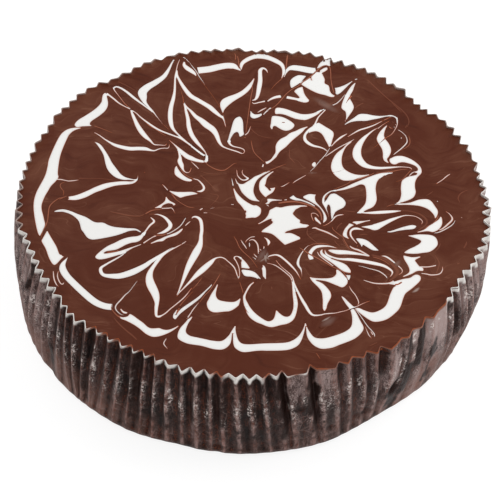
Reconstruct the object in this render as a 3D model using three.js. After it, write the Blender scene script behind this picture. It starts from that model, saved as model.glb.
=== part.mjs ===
// A round chocolate mud cake in the fluted paper case that it was baked in.
// Three pieces: the paper case, the cake, and the chocolate icing poured over it, which runs out into the pleats.
// Millimetres, +Z up. The origin is on the surface the cake stands on, under the middle of the rim.
// -Y is the front. The sides flare from the base to the rim, and the base sits a little left of the rim.

import * as THREE from 'three';

// Driving dimensions
const RIM_RADIUS = 100; // to the outer tips of the pleats at the paper's top edge
const BASE_RADIUS = 94.5; // to the outer tips just above the rounded bottom edge
const CASE_HEIGHT = 53;
const BASE_LEAN = -3.5; // how far along X the base is from the middle of the rim
const BOTTOM_EDGE = 6; // radius of the rounded bottom edge
const BASE_LIFT = 1.8; // height of the row half way round that edge

const WALL_STEPS = 3; // rows of facets up the wall, so that the pleats can deepen towards the rim
const PLEATS = 110;
const RIM_FOLD = 3.2; // from a pleat's outer tip to its inner tip, at the rim
const EDGE_FOLD = 1.6; // the same just above the bottom edge, under which the pleats are pressed flat

const PAPER = 0.8; // the case's wall, with the fat and crumb baked into it
const GAP = 0.5; // clearance between two pieces
const ICING_DEPTH = 4;
const LIP = 1.2; // bare paper standing above the icing

const ICING_TOP = CASE_HEIGHT - LIP;
const ICING_BOTTOM = ICING_TOP - ICING_DEPTH;

// The case's outer face at a height above the bottom edge: radius of the outer tips and depth of the fold.
function wallAt(height) {
  const share = (height - BOTTOM_EDGE) / (CASE_HEIGHT - BOTTOM_EDGE);
  return {
    radius: THREE.MathUtils.lerp(BASE_RADIUS, RIM_RADIUS, share),
    fold: THREE.MathUtils.lerp(EDGE_FOLD, RIM_FOLD, share),
    height,
  };
}

// The case's outer face from the middle of the base up to a height, all of it moved inwards by inset.
function skin(inset, topHeight) {
  const foot = BASE_RADIUS - BOTTOM_EDGE;
  const rows = [
    { radius: 0, fold: 0, height: 0 },
    { radius: foot, fold: 0, height: 0 },
    { radius: BASE_RADIUS - BASE_LIFT, fold: EDGE_FOLD / 2, height: BASE_LIFT },
  ];
  const step = (CASE_HEIGHT - BOTTOM_EDGE) / WALL_STEPS;
  for (let height = BOTTOM_EDGE; height < topHeight; height += step) {
    rows.push(wallAt(height));
  }
  rows.push(wallAt(topHeight));
  return rows.map((row) => ({
    radius: Math.max(row.radius - inset, 0),
    fold: row.fold,
    height: row.height < BOTTOM_EDGE ? row.height + inset : row.height,
  }));
}

// A closed solid turned from rows that start and end on the axis. Every other column stands in by the row's fold,
// which makes the pleats, and the lower a row is, the further it moves with the lean of the base.
function pleated(rows) {
  const outline = rows.map((row) => new THREE.Vector2(row.radius, row.height));
  const geometry = new THREE.LatheGeometry(outline, 2 * PLEATS);
  const position = geometry.getAttribute('position');
  const vertex = new THREE.Vector3();
  for (let i = 0; i < position.count; i++) {
    const row = rows[i % rows.length];
    const column = Math.floor(i / rows.length);
    vertex.fromBufferAttribute(position, i);
    if (column % 2 === 1 && row.radius > 0) {
      const inward = (row.radius - row.fold) / row.radius;
      vertex.x *= inward;
      vertex.z *= inward;
    }
    vertex.x += BASE_LEAN * (1 - row.height / CASE_HEIGHT);
    position.setXYZ(i, vertex.x, vertex.y, vertex.z);
  }
  geometry.rotateX(Math.PI / 2);
  geometry.computeVertexNormals();
  return geometry;
}

// A thin fluted cup: up the outside, over the top edge and down the inside.
function paperCase() {
  const outside = skin(0, CASE_HEIGHT);
  const inside = skin(PAPER, CASE_HEIGHT).reverse();
  return pleated([...outside, ...inside]);
}

// The cake fills the case up to the icing and took the shape of its pleats in the oven.
function cake() {
  const top = ICING_BOTTOM - GAP;
  const rows = skin(PAPER + GAP, top);
  return pleated([...rows, { radius: 0, fold: 0, height: top }]);
}

// The icing was poured as a liquid, so it is level and reaches into every pleat.
function icing() {
  const inset = PAPER + GAP;
  const edges = [ICING_BOTTOM, ICING_TOP].map((height) => {
    const wall = wallAt(height);
    return { ...wall, radius: wall.radius - inset };
  });
  return pleated([
    { radius: 0, fold: 0, height: ICING_BOTTOM },
    ...edges,
    { radius: 0, fold: 0, height: ICING_TOP },
  ]);
}

function piece(name, geometry, colour, roughness) {
  const material = new THREE.MeshStandardMaterial({ color: colour, roughness, metalness: 0 });
  const mesh = new THREE.Mesh(geometry, material);
  mesh.name = name;
  return mesh;
}

const mudCake = new THREE.Group();
mudCake.add(
  piece('paper_case', paperCase(), 0x43332f, 0.45),
  piece('cake', cake(), 0x2e1810, 0.9),
  piece('chocolate_icing', icing(), 0x5a3024, 0.35),
);

export default mudCake;
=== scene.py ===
"""A marbled chocolate mud cake in its fluted paper case: paper, cake, icing and white chocolate marbling.

Metres in Blender, millimetres in every named size. +Z is up, the front is -Y, and the origin is on the
surface under the cake, below the middle of the rim.
"""
import logging
from dataclasses import dataclass, field
from enum import Enum
from typing import Any, Callable, Optional, Sequence

import bpy
import numpy as np
from mathutils import Matrix, Vector
from mathutils.geometry import delaunay_2d_cdt

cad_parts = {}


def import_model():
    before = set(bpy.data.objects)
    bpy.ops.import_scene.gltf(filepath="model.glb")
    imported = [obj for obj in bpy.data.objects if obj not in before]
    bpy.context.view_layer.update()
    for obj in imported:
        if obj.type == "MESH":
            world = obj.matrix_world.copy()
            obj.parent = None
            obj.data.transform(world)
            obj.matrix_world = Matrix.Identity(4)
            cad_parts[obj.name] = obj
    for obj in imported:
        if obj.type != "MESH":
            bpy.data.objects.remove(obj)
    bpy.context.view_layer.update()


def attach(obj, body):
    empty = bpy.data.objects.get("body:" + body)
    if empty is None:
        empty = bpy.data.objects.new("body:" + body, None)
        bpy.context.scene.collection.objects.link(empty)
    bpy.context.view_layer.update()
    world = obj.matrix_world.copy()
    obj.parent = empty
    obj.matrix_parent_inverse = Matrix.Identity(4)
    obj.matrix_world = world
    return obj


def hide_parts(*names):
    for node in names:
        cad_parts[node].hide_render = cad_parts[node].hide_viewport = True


LOG = logging.getLogger("mud_cake")
MM = 0.001
TINY = 1e-9
LEAST_SPAN = 1e-6
RIM_HEIGHT = 53.0
ICING_LEVEL = 51.8
# How far the middle of the foot lies from below the middle of the rim, along x.
BASE_LEAN = -3.5

Point = tuple[float, ...]
Colour = tuple[float, float, float]


class Tone(Enum):
    """How a line of the marbling is drawn.

    The numbers are its share of white chocolate at the middle and at the edge, how high it lies in
    millimetres, and how much grey-lilac it takes, partly where white chocolate sank into the icing and
    partly as painted sheen, where 1 also fades its ends.
    """

    WHITE = (1.0, 0.0, 0.0, 0.0)
    CREAM = (0.46, 0.0, 0.0, 0.0)
    TAN = (0.24, 0.0, 0.06, 0.5)
    VEIL = (0.14, 0.0, 0.03, 0.85)
    # HAZE and MIST are painted sheen: grey-lilac reflections of the light on the icing.
    HAZE = (0.56, 0.0, 0.03, 1.0)
    MIST = (0.25, 0.0, 0.03, 1.0)
    SLIT = (0.03, 0.3, 0.06, 0.0)


# Pools of white chocolate: outlines seen from above, as x and y in turn in millimetres. Each is a row of
# runs from one sharp tip to the next. A lone run that ends where it starts has no tip.
POOLS: tuple[tuple[Point, ...], ...] = (
    ((-6.2, 41.3, -6.7, 42.3, -7, 43.8, -7.6, 44.5, -8.6, 43.8, -10.2, 40, -10.5, 38.3, -11.5, 38.3,
     -11.3, 41, -10.6, 45, -9.3, 52, -8.3, 53.8, -6.6, 54.7, -5.6, 53.5, -5, 51.5, -4.6, 45, -4.4, 43.3),),
    ((-78, 45.2, -77, 45.1, -75.5, 45.6), (-70, 46.2, -71.8, 47, -71.8, 48.5, -68, 53, -66, 55.8, -65, 58.5,
     -64.8, 61, -65.6, 65.5, -65.9, 67, -66.5, 67.9, -67.5, 67, -67.9, 64.5, -68, 62, -69.3, 59, -71.5, 56,
     -74.5, 52.8, -77.3, 50, -78.6, 47.8, -78.8, 46.3)),
    ((-74, 45, -77, 43.9, -79, 42.5, -80.6, 40, -81.3, 37.5, -83.1, 29, -83.6, 24, -83.6, 15.5, -83.2, 13.3,
     -84, 11, -86, 7.5, -87, 4.5, -88, 1.5, -89, -4, -88.7, -7, -87.9, -10, -87.2, -13, -86.7, -15,
     -86.8, -17), (-88.4, -22.8, -89.5, -20.5, -92.6, -5, -92.3, 2.5, -89.6, 12.5, -89, 15.5, -88.6, 20,
     -88.4, 24, -85.2, 38, -83.7, 41.5, -81.5, 43.8, -78.5, 44.9)),
    ((-85.6, -18.5, -85, -20, -81, -28, -79, -32.8), (-77.7, -32.6, -78.3, -33.3), (-77.4, -33.9,
     -78.5, -35.5, -80.3, -38.5, -81, -39, -81.8, -38.6, -83.5, -35.5, -85.6, -29.5, -87.6, -25,
     -87.2, -23.5)),
    ((-79, -0.6, -78, 0.2), (-78.5, 1.3, -75, 2.5, -71, 5, -67, 8, -63, 10.3, -57, 11.8, -54.5, 12,
     -52, 12), (-49.4, 13.3, -49.7, 12, -51.2, 10.5, -59, 8.7, -65, 5.4, -67, 4.2, -71, 1, -75, -0.7)),
    ((3.1, 57.3, 1.5, 56.6, 0, 56.5, -1, 57.3, -2.4, 60, -2.1, 57.5, -2.1, 55, -1.3, 53.8, -0.5, 53.5,
     1, 53.9, 3.2, 55.9),),
    ((7.9, 46.7, 8.4, 49, 9, 49.2, 10.5, 48, 12.5, 46.6, 14, 46.3, 15.8, 47, 17.3, 48.8, 17.6, 50.2,
     16.8, 51.8, 12.5, 55.2, 8.5, 55.9, 7.6, 55.5, 7, 51, 6.8, 48.5, 7.3, 47.3),),
    ((30, 61, 28, 57.5, 22.5, 53.5, 21, 53.5, 18, 54.1, 13, 56.6, 11, 57, 9, 57, 9, 60.5, 10, 61.2,
     13, 60.8, 18.5, 58.3, 21, 57.5, 25, 58),),
    ((4.9, 26.4, 5.5, 24.8, 6.5, 25.2, 9.8, 29.3, 10.5, 31, 11.5, 33, 14, 36, 16.5, 39.8, 21, 45.5,
     22.5, 48), (25.5, 50.5, 20, 48, 18, 46.5, 15.5, 45, 13.8, 43, 11.5, 41.2, 10, 39, 9.3, 36.5, 9.2, 32.3,
     8.3, 30, 7.3, 28, 6, 26.8)),
    ((0.1, 84.5, -0.6, 81.5, -2, 78.2, -6, 72, -9, 69.5, -12, 67.8, -14.5, 65.8, -15.5, 63.5, -15.5, 61,
     -14.5, 57), (-13.9, 53.5, -13.7, 57.5, -13, 59.5, -10, 63.8, -5, 68.8, -3, 71.5, -1.7, 74.2,
     -0.7, 78.5)),
    ((22.8, 82.6, 19, 83, 15.7, 80, 15.2, 77.5, 15.5, 75), (16, 73.8, 19.8, 77.6)),
    ((27, 87.3, 28.6, 91.5, 30.2, 93.3, 32.3, 95.2), (34.8, 95.8, 34.5, 93.8, 33.5, 92), (33.6, 89.5,
     31, 89.5)),
    ((29.3, 84.8, 32.2, 87.3, 32, 88.7, 31, 88.6, 28.5, 86, 29.3, 84.8),),
    ((35.5, 69.8, 34.8, 69, 33.5, 68.9, 31, 70, 28, 71, 25, 72.8, 21, 76), (20, 77, 20, 78, 24.5, 81.3),
     (24.8, 80, 24.8, 82.8, 26, 84.5, 27, 85.5, 29.5, 84.8, 30.3, 83, 31, 80.5, 31, 78, 32.5, 76.8,
     33, 75.5, 33.3, 73, 34, 71.3)),
    ((21, 75.5, 22, 70.5, 23.2, 68, 24, 66.5, 23.5, 65.3, 21.8, 64.8, 19, 66, 19.5, 68, 18.2, 70.3,
     17.2, 72, 18.5, 74),),
    ((35.2, 75.2, 37, 75.8, 39.5, 77.2, 44, 81, 45, 81.8), (46, 81.3, 44, 80.2, 37.5, 71.3, 36.3, 70.6,
     35.6, 71.2, 35.5, 73)),
    ((45, 79.3, 44.2, 76.5, 43.5, 73.5, 42.2, 70, 42.3, 68, 43.2, 65.5, 43.8, 63, 43.5, 61, 41, 55.5),
     (40, 53, 39.4, 52.7, 40, 55, 39.8, 59.5, 38.7, 60.8, 38.1, 62, 39, 67.5, 42, 75.5, 44.2, 78.8)),
    ((32.7, 35.5, 31.8, 38.5, 30.8, 41, 30, 43.3, 28.8, 45.2, 27, 46.2, 25, 45.7), (23.5, 44.8, 23.8, 46,
     25, 48.5, 26.5, 50.5, 28, 52, 29.5, 51, 31.5, 49.2, 33.5, 47.5, 34.6, 46, 34.8, 44, 34.3, 41.5,
     33.7, 38.5)),
    ((43, 41.5, 40.5, 39, 38.5, 36, 36, 33, 34.5, 30, 33.5, 26.5, 33.3, 23.5, 33.9, 20.9, 35.5, 18.2,
     38.5, 15.7, 43, 16, 45, 16.9), (52, 20.5, 47, 19.5, 43, 20.1, 39, 23.5, 38.2, 29.5, 40, 36.5,
     42.5, 40)),
    ((60.8, 53.6, 57.8, 51.3, 55, 47.4, 53.5, 43.6, 53.4, 41.5, 55.5, 35.7, 55.8, 33.1, 55.8, 30.5,
     56.4, 28.4), (58.9, 26.5, 57.8, 29.5, 58.7, 31.4, 59.6, 34.3, 59.5, 37, 58.5, 40.1, 57.3, 42.5,
     56.8, 44.8, 58, 50.3, 59.3, 52.2)),
    ((38.9, 50, 39.5, 51.5, 43.5, 55.8, 46, 58.3, 49, 58.6, 52, 57.9, 55, 57.6, 58, 58, 60, 58.4,
     62.8, 56.8, 63.1, 55.2, 60.3, 47.5), (59, 46, 61.6, 52, 62.2, 54.5, 61.9, 56, 61, 57, 58, 57, 55, 55.8,
     52, 54.8, 49, 53.8, 45, 53.5, 42, 52.5)),
    ((26.2, 27, 26.9, 26.5, 27, 25, 26.3, 23.7, 25.5, 24, 25, 25.3, 26.2, 27),),
    ((60.2, 2.2, 62.2, 4.5, 63.1, 8, 63.1, 12.5, 63.8, 16.8, 64.8, 18, 66, 19.1, 70, 20.7, 70.4, 21.4),
     (69.3, 21.9, 69.8, 22.7, 70.6, 23.3, 70.7, 24.5, 69.7, 26, 66, 27.7, 64, 27.9, 62.5, 27.3, 61.5, 26.5,
     60.3, 26.4, 59.3, 27, 58.6, 28.5, 58.8, 30, 59.5, 30.5, 61, 31.6, 63, 32.1, 65, 31.9, 69, 29.6,
     72, 25.8, 72.6, 23, 72.3, 21.5, 70.5, 18.7, 69.6, 16, 69.4, 13, 69.6, 9.5, 68.3, 6.3, 64, 3.6,
     62.5, 3.1)),
    ((60.2, 2.2, 63, 2.9, 65, 3.1, 67, 3.6, 71, 5.5, 74.5, 5.7, 76, 4.6, 77.8, 1, 78.5, -0.5, 78.7, -2,
     78.2, -4.3, 76.4, -7.5), (75, -9, 76.2, -7.5, 77, -5, 75.5, -1.8, 74, -0.2, 70.5, 1.4, 65, 1.9,
     62.5, 1.8)),
    ((79.7, -3.8, 80.2, -5.5, 80.2, -9, 78.6, -12.3, 76, -14, 74, -13.6, 68, -15), (66, -15.3, 72, -12.7,
     74.6, -10, 78.6, -6.2)),
    ((55.5, -14.5, 58, -13.9, 64, -11, 67.7, -9.9, 69.3, -10.6, 68.3, -12.3, 64.5, -13.2, 62, -13.8,
     58, -15),),
    ((64, -16.1, 66, -16.2, 70, -15.4, 75, -15.5, 76.5, -16.2, 77.5, -17.5, 78, -20.5, 77.3, -22.5,
     74.5, -25.5, 71, -26.5, 69, -27, 65, -27.1), (63.2, -26.7, 64.8, -25, 66.3, -23.8, 68, -22.7,
     70.5, -20.3, 70.7, -19.3)),
    ((63.1, -28, 67, -28.9), (71.1, -28, 70.5, -28.8, 68.2, -30.8, 68.7, -32, 70, -34.2, 71.3, -35,
     71.3, -36.7, 69.2, -36.9, 68, -37.5, 67, -38.4, 64.5, -39.9, 61, -41.5, 58.5, -42.8), (56, -43.9,
     58.5, -42.6, 64.3, -38.8, 65.3, -37.5, 65.4, -36, 64.9, -34, 63.3, -30)),
    ((55, -44.6, 58, -43.6, 63, -41.5, 65, -41, 66, -40.5, 67, -39.5, 68, -38.9, 69.2, -39, 70.1, -40,
     70.2, -41.5, 69.6, -43, 66.7, -46.7, 63.7, -50, 62.9, -52, 61.2, -58, 59.7, -60.5, 55.5, -64.8,
     51.5, -66.2, 49.5, -65.9, 44, -60.9), (42.7, -59.2, 43.7, -58.5, 45, -58.8, 46.5, -59.7, 50, -60.8,
     54, -58.5, 55.5, -56.3, 57.3, -50, 58.8, -46.3, 59.6, -45.6)),
    ((60, 21, 57.5, 20.3, 55.8, 19.2, 53.5, 16, 52.6, 12, 52.8, 4, 51.3, 0.3, 48.5, -1.8, 46, -3.6),
     (44.4, -3.7, 44.8, -2.7, 47.8, 2.5, 47.7, 12.6, 47, 13.3, 46, 13.4, 43, 11.7, 39, 9.9, 35, 9, 34, 9.2,
     39, 11.6, 43, 14.3, 53, 20.2, 56, 21.2)),
    ((33.5, -9.2, 33.1, -6, 32.7, -0.3, 32.2, 0.6, 31.4, -1.6, 30.6, 0, 30.5, 2, 31.3, 3.8, 33, 7.2,
     34.5, 7.8, 35.5, 7.5, 37, 6.2, 38.5, 4.8, 39.7, 2, 38.8, -0.7, 36.2, -2.8, 35.3, -3.8),),
    ((27.3, 6.9, 26.8, 6.2, 26.7, 3.5, 27.2, 2, 29.2, -1.2, 31, -5, 31.6, -8, 31.2, -9.2), (29.8, -11,
     29.8, -9.5, 30, -8, 29.7, -4.6, 28, -1, 25, 1.8, 21.3, 5, 23.5, 6.9, 25, 7.1, 26.2, 6.9)),
    ((29.4, -12, 28.5, -11.3, 27.5, -10.2, 26.7, -9.4, 26.2, -7.7, 26.5, -7, 27, -7.2, 27.5, -8,
     28.8, -10),),
    ((41.8, -9.6, 43, -8.9, 47, -8.3), (51, -7.3, 50, -8.2, 48, -8.9, 45, -10.4, 44, -10.9, 43.3, -10.3)),
    ((41, -19.9, 38.3, -18, 38, -17, 38.8, -13.8, 40.4, -11, 40.9, -10.2, 42.9, -11.2, 42, -12, 40.6, -13.8,
     40, -16.5, 40.2, -18, 40.8, -19.2),),
    ((53.5, -26, 50.5, -25.8, 47.5, -23.5, 46.6, -22.8), (46.3, -24, 46, -24, 45.3, -22.5, 44.5, -21,
     43.8, -20, 43.6, -19, 44.5, -18.7, 48, -19.6)),
    ((9.5, 21.8, 8, 21.1, 6, 20.7, 3, 18.5, 0.3, 16.7, -0.7, 15.5, -3.3, 13, -4, 12.3, -5.3, 12.1,
     -6.1, 12.6), (-7.8, 15.5, -5.3, 8, -4.5, 6.3, -0.8, 2.2), (3.4, 1.3, 3, 1.9, 2, 2.9, 0.7, 6, 0.4, 8,
     0.9, 12, 2.5, 15.7, 8, 20.8)),
    ((9.5, 21.6, 8.8, 20, 7.8, 18.9, 6.1, 16, 5.5, 12.5, 5.2, 11.3, 6.3, 9.8, 7.3, 8.3, 7.6, 8.7, 7.2, 9.7),
     (7.2, 10.1, 8, 10), (9.8, 10.7, 8.7, 7.5, 6, 4.6), (5.8, 4, 5.2, 4.3, 3.3, 7, 2.6, 9, 2.6, 13, 3.3, 15,
     6, 18.5, 8.5, 20.6)),
    ((-9.3, 14.5, -8.7, 10, -7.1, 2.5, -6.3, 0.7, -5, -1.2), (-3.3, -4.3, -2.9, -4.2, -2.7, -4.9, -3, -5.8,
     -2.8, -7), (-3, -8.9, 0, -8.3, 1.5, -8.2, 3.4, -6.3, 3.8, -3.3, 3.3, -2, 1.5, -0.7, 0.5, -0.8, -3.3, 2,
     -6.2, 5.7, -8.1, 9.8)),
    ((25.5, -1.6, 24, -1, 20.5, -1.2, 19.7, -1.8, 18.5, -2.7, 17.8, -4, 17.3, -5.2, 19, -7.8, 20.2, -9,
     20.4, -9.8, 20.2, -10.6, 21.5, -11.3, 23.5, -11.7, 24.1, -12.3, 23.5, -12.9, 22.8, -13.6, 21, -13.8,
     17.5, -14.7, 16, -15.4, 14.7, -16), (14, -16.8, 16.5, -16.8, 19.3, -18.5, 20.3, -19.3), (20.4, -20.4),
     (14, -24, 13.5, -23.6, 8.8, -18, 7, -17.1), (3.6, -16.6, 4.7, -15, 8.6, -10.6, 8, -9.6), (8.1, -8.7,
     7.2, -9, 3, -11.9, 0, -13.1), (-2, -13.2, 2, -11.8, 5, -9.2, 6.5, -6.5, 6.9, -5, 7.2, -3.5, 8.5, -2.4,
     10, -1.4, 12, -1.6, 14, -0.9, 16, -0.4, 21, 0.05, 23, -0.3)),
    ((15.5, 4.5), (17.3, 6.2, 18.6, 4.7, 21, 3.6, 25, 1.4), (28, -1.7, 26, -0.6, 24.3, 0.6, 20.5, 2.5,
     18, 2.8, 15.8, 3.9)),
    ((15.5, 3.1, 13, 2.4, 11, 2.3, 8.2, 1.8, 7.4, 1, 7, 0.2, 6, 0), (5, 0.2, 6.2, 1.5, 6.1, 3.2, 6.8, 3.5,
     12, 3, 13.5, 3.2, 14.3, 3.5)),
    ((-33, 22.5, -33.8, 21, -33.9, 17.5, -33.3, 16, -29.3, 12.9, -26.5, 12.7, -26, 13.5, -26.5, 14.1,
     -27.5, 14.5, -30.3, 17, -32.5, 20.8),),
    ((-36.3, 7, -33, 6.3, -30, 6.3, -25.5, 6.5), (-22.9, 5.4, -28.5, 3.6, -30.8, 2.6, -31.5, 3,
     -34.5, 5.2)),
    ((-37.8, 5.4, -35.7, 1.5, -35, 0.7, -32.5, -1.3, -33, -2, -33.4, -2.4, -33.9, -1.5, -35.5, -1,
     -37.5, -2, -38.2, -3, -38.5, -4, -39.5, -4), (-42.2, -4.5, -40, -2.7, -37.4, 0.3, -37.1, 3)),
    ((-84, -8.1, -83, -7, -80, -6.1, -76, -7.3, -74, -8.4, -70, -10.3, -65.8, -13.3, -62.5, -13.5, -60, -15,
     -58, -15.8, -52, -16.5, -49.5, -16.5, -48, -16.9), (-45.5, -19, -47, -18.8, -48.5, -18, -51.5, -18.5,
     -53, -19.4, -57, -21.4, -65.3, -23.8, -66.8, -23.8, -68, -23.3, -69, -22.3, -70.6, -19.5, -71.5, -18,
     -73, -13, -75.3, -10.2, -77, -9, -80, -7.9, -82, -8)),
    ((-44.2, -24.6, -45.5, -25.8, -49, -28, -53, -31.4, -55, -32.4, -61, -35, -63.3, -35.2, -64.5, -34.3,
     -64.6, -33.3, -60.5, -27.8, -57, -25.2, -54.5, -23.3, -52, -22, -50, -21.4, -48, -21, -46.5, -20.2),
     (-45.5, -19.2, -44.3, -19, -44.7, -20.2, -46.3, -23.5, -48, -24.7, -50, -25.2, -52, -26.3, -56, -29.3,
     -60.3, -30.6, -61, -31.5, -56, -30.4, -51, -28, -46, -25.4, -44.5, -24.3)),
    ((-28.7, -15.2, -29.1, -16.8, -31.5, -19.9, -35.3, -21.8, -37, -23.6, -39, -24, -42, -25.4),
     (-45.2, -26.3, -44, -25.6, -42.5, -25, -39.5, -22.8, -38, -22, -37, -21.2, -31.3, -17.6, -29.8, -16)),
    ((-52.7, -61.8, -51, -63.8, -49.8, -64.3), (-49.2, -64.8, -50, -65.3, -51.3, -65, -52.6, -63)),
    ((-56, -63.4, -54.6, -65.1, -52, -67, -50.7, -67.1, -49.5, -66.6), (-48.6, -65.2, -47.5, -65.8,
     -44.5, -68.5, -43, -69.8, -40.8, -72.2, -39.7, -72.8, -38, -72.8, -36.2, -72.6, -35, -73.2,
     -33.5, -73.5, -32, -73.2, -28.7, -71, -25.5, -67.2), (-24.3, -65, -25.2, -67.3, -32, -75.1, -38, -77.7,
     -41, -76.6, -44.5, -73.2, -46.5, -71.5, -50, -69.2, -51.8, -68.3, -55, -65.2)),
    ((-14.5, -45, -16, -48.9, -17.8, -51.6, -20.5, -56, -28, -64.6, -30.1, -67.8, -30.9, -67.2, -31.2, -66,
     -30.9, -64.5, -30.3, -63.3, -29.3, -60.8), (-28.2, -58.8, -29.4, -63), (-29.7, -65, -29.2, -63.6,
     -27.9, -61.5, -22, -55.5, -18, -50.3)),
    ((-4.3, -65.5, -4.8, -66.8, -5.5, -69.2, -7.3, -73.4, -8.3, -75.7, -11, -78.7, -15, -78.7, -17, -78.2,
     -21, -77.2, -23.3, -76.6, -24.8, -75.5, -25.4, -74, -24.5, -69.7, -23.5, -67.5), (-22.5, -64.5,
     -24, -66.4, -25, -67.5, -26, -69.2, -28.2, -73, -28.9, -77, -28.3, -78.6, -25, -80.8, -19, -82,
     -13.5, -83.6, -10, -83.3, -7.5, -80.5), (-6.7, -74.7, -6.3, -80.5, -5.5, -82.5, -2.5, -84.5, 3, -83.7,
     5, -83.5, 8, -83.5, 16, -82.7, 19.5, -80.5, 21, -77.8, 22.3, -72.5), (22.7, -69.5, 23.3, -75.5,
     25.5, -79.5, 27.3, -81, 29.2, -81.7, 33.5, -80.9, 36, -79.5, 43, -75.3, 46, -71, 46.2, -69, 45, -65.7,
     43.3, -61), (42.4, -59.2, 41.5, -59.3), (40.8, -60, 41.4, -64, 40.9, -69, 38.5, -71.8, 31.5, -75.3,
     29.5, -75.8, 27.8, -75.8, 26.3, -75.3, 24.2, -72, 23.3, -69.5), (22.5, -65.5, 22, -69.5, 20.3, -74,
     18.7, -76.2, 17, -77.6, 15, -78.5, 6, -79.3, -1, -80, -2.8, -79.6, -4, -78.3, -5.3, -73.5, -5.4, -71)),
    ((-11, -38, -11.5, -41, -12.5, -45.3, -13.3, -48.3, -13.9, -53.5, -13.3, -55.5, -12.3, -56.5,
     -6.5, -57.2, -4.5, -55.5), (-3.5, -53, -4.4, -59, -5, -60, -7, -62, -8.5, -62.8, -10, -63, -14, -63.6,
     -15.5, -63.2, -16.8, -62, -17.7, -58.5, -17, -56, -16, -53, -14.5, -49.5, -12, -42)),
    ((1.7, -45.3, 0.3, -46.5, -0.8, -48, -2.5, -52.5, -3, -54.2, -2.4, -59.5, -0.3, -65.3, 2.5, -68,
     5, -69.2, 7, -70.2, 9, -70.6, 13, -69.2, 15, -68.6, 16.7, -67.5, 18, -65.8, 18.8, -63.5, 19.6, -58,
     19.5, -55.5), (17.5, -45.5, 16.7, -44, 16.9, -46, 17.3, -53, 17.6, -57, 17.4, -60.5, 16.2, -63.8,
     15, -64.4, 13.7, -64, 11.3, -61.5), (10.7, -60.2, 9.8, -65.3, 9, -66.6, 7.8, -67.2, 6.7, -66.9,
     2.5, -63.3, 0.2, -60, -0.7, -58, -1.8, -54.5, 0.3, -48, 1.5, -46.3)),
    ((-0.2, -38, -1, -38.2), (-4, -37.8, -4.2, -34.5, -4, -33.5, -5, -31.3, -4, -31.9, -1.8, -34.8)),
    ((-4, -38.7, -2.5, -38.6, 0.8, -39.4, 2.3, -40.6), (5, -45, 4.3, -44.7, 3.3, -43.8, 2.7, -44,
     2.2, -43.6, 0, -42.9, -1.5, -42.8, -2.7, -42.3, -3.9, -39.8)),
    ((6.5, -45, 6, -44.5, 5.6, -43.3, 5, -42.5, 4.6, -39, 4.4, -37.8, 4.8, -36.8, 4.5, -35.3, 6, -37),),
    ((29.2, -26, 28.5, -27, 28.5, -28.3, 29.2, -29.8, 33.7, -34, 38, -38.2, 39.5, -38.9), (41.2, -39.2,
     41.4, -38, 39.8, -34.8, 38.3, -33.5, 32.5, -30.5, 30, -28, 29.7, -26.8), (30, -26)),
    ((50.5, -29.4, 48.5, -29.5, 46, -29, 40, -28.6, 35.5, -28.6, 32.5, -27.2, 31.9, -26.3, 32.8, -25.8,
     35, -25.8, 40, -26.1, 46, -27.7),),
    ((35.2, -37, 36.2, -37.5, 39.2, -41.5, 40, -44.5, 39.7, -45.6, 37.8, -47.5, 35, -46.3, 30.8, -44.2,
     27, -43.7, 29, -44.8, 30.3, -46, 32.6, -49.5, 33.1, -51, 33.2, -52.8, 31.7, -57, 31.2, -59.5,
     30.4, -60.9, 29.7, -60, 29.5, -54, 28.8, -49.5, 25.2, -44.3, 24.3, -42.5), (23.7, -40.5, 24.3, -41.5,
     25.2, -42.1, 33.5, -41.8, 35.1, -39.8, 35.1, -38.5)),
    ((39, -39.8, 40, -40.2), (41.2, -40.2, 41.2, -41.5), (40.3, -44.2)),
    ((37, -51.8, 37.5, -53.5, 40, -58.5), (40.9, -59.3), (42.7, -58.4, 40, -55, 38.5, -53)),
)

# A pool that half sank into the icing; its grey-lilac is partly that and partly painted sheen.
SUNKEN_SHEEN_POOLS: tuple[tuple[Point, ...], ...] = (
    ((22.8, 19.5, 24.5, 21, 27, 20.7), (28.3, 20, 26.5, 19.3, 24, 19.2)),
)

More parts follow.
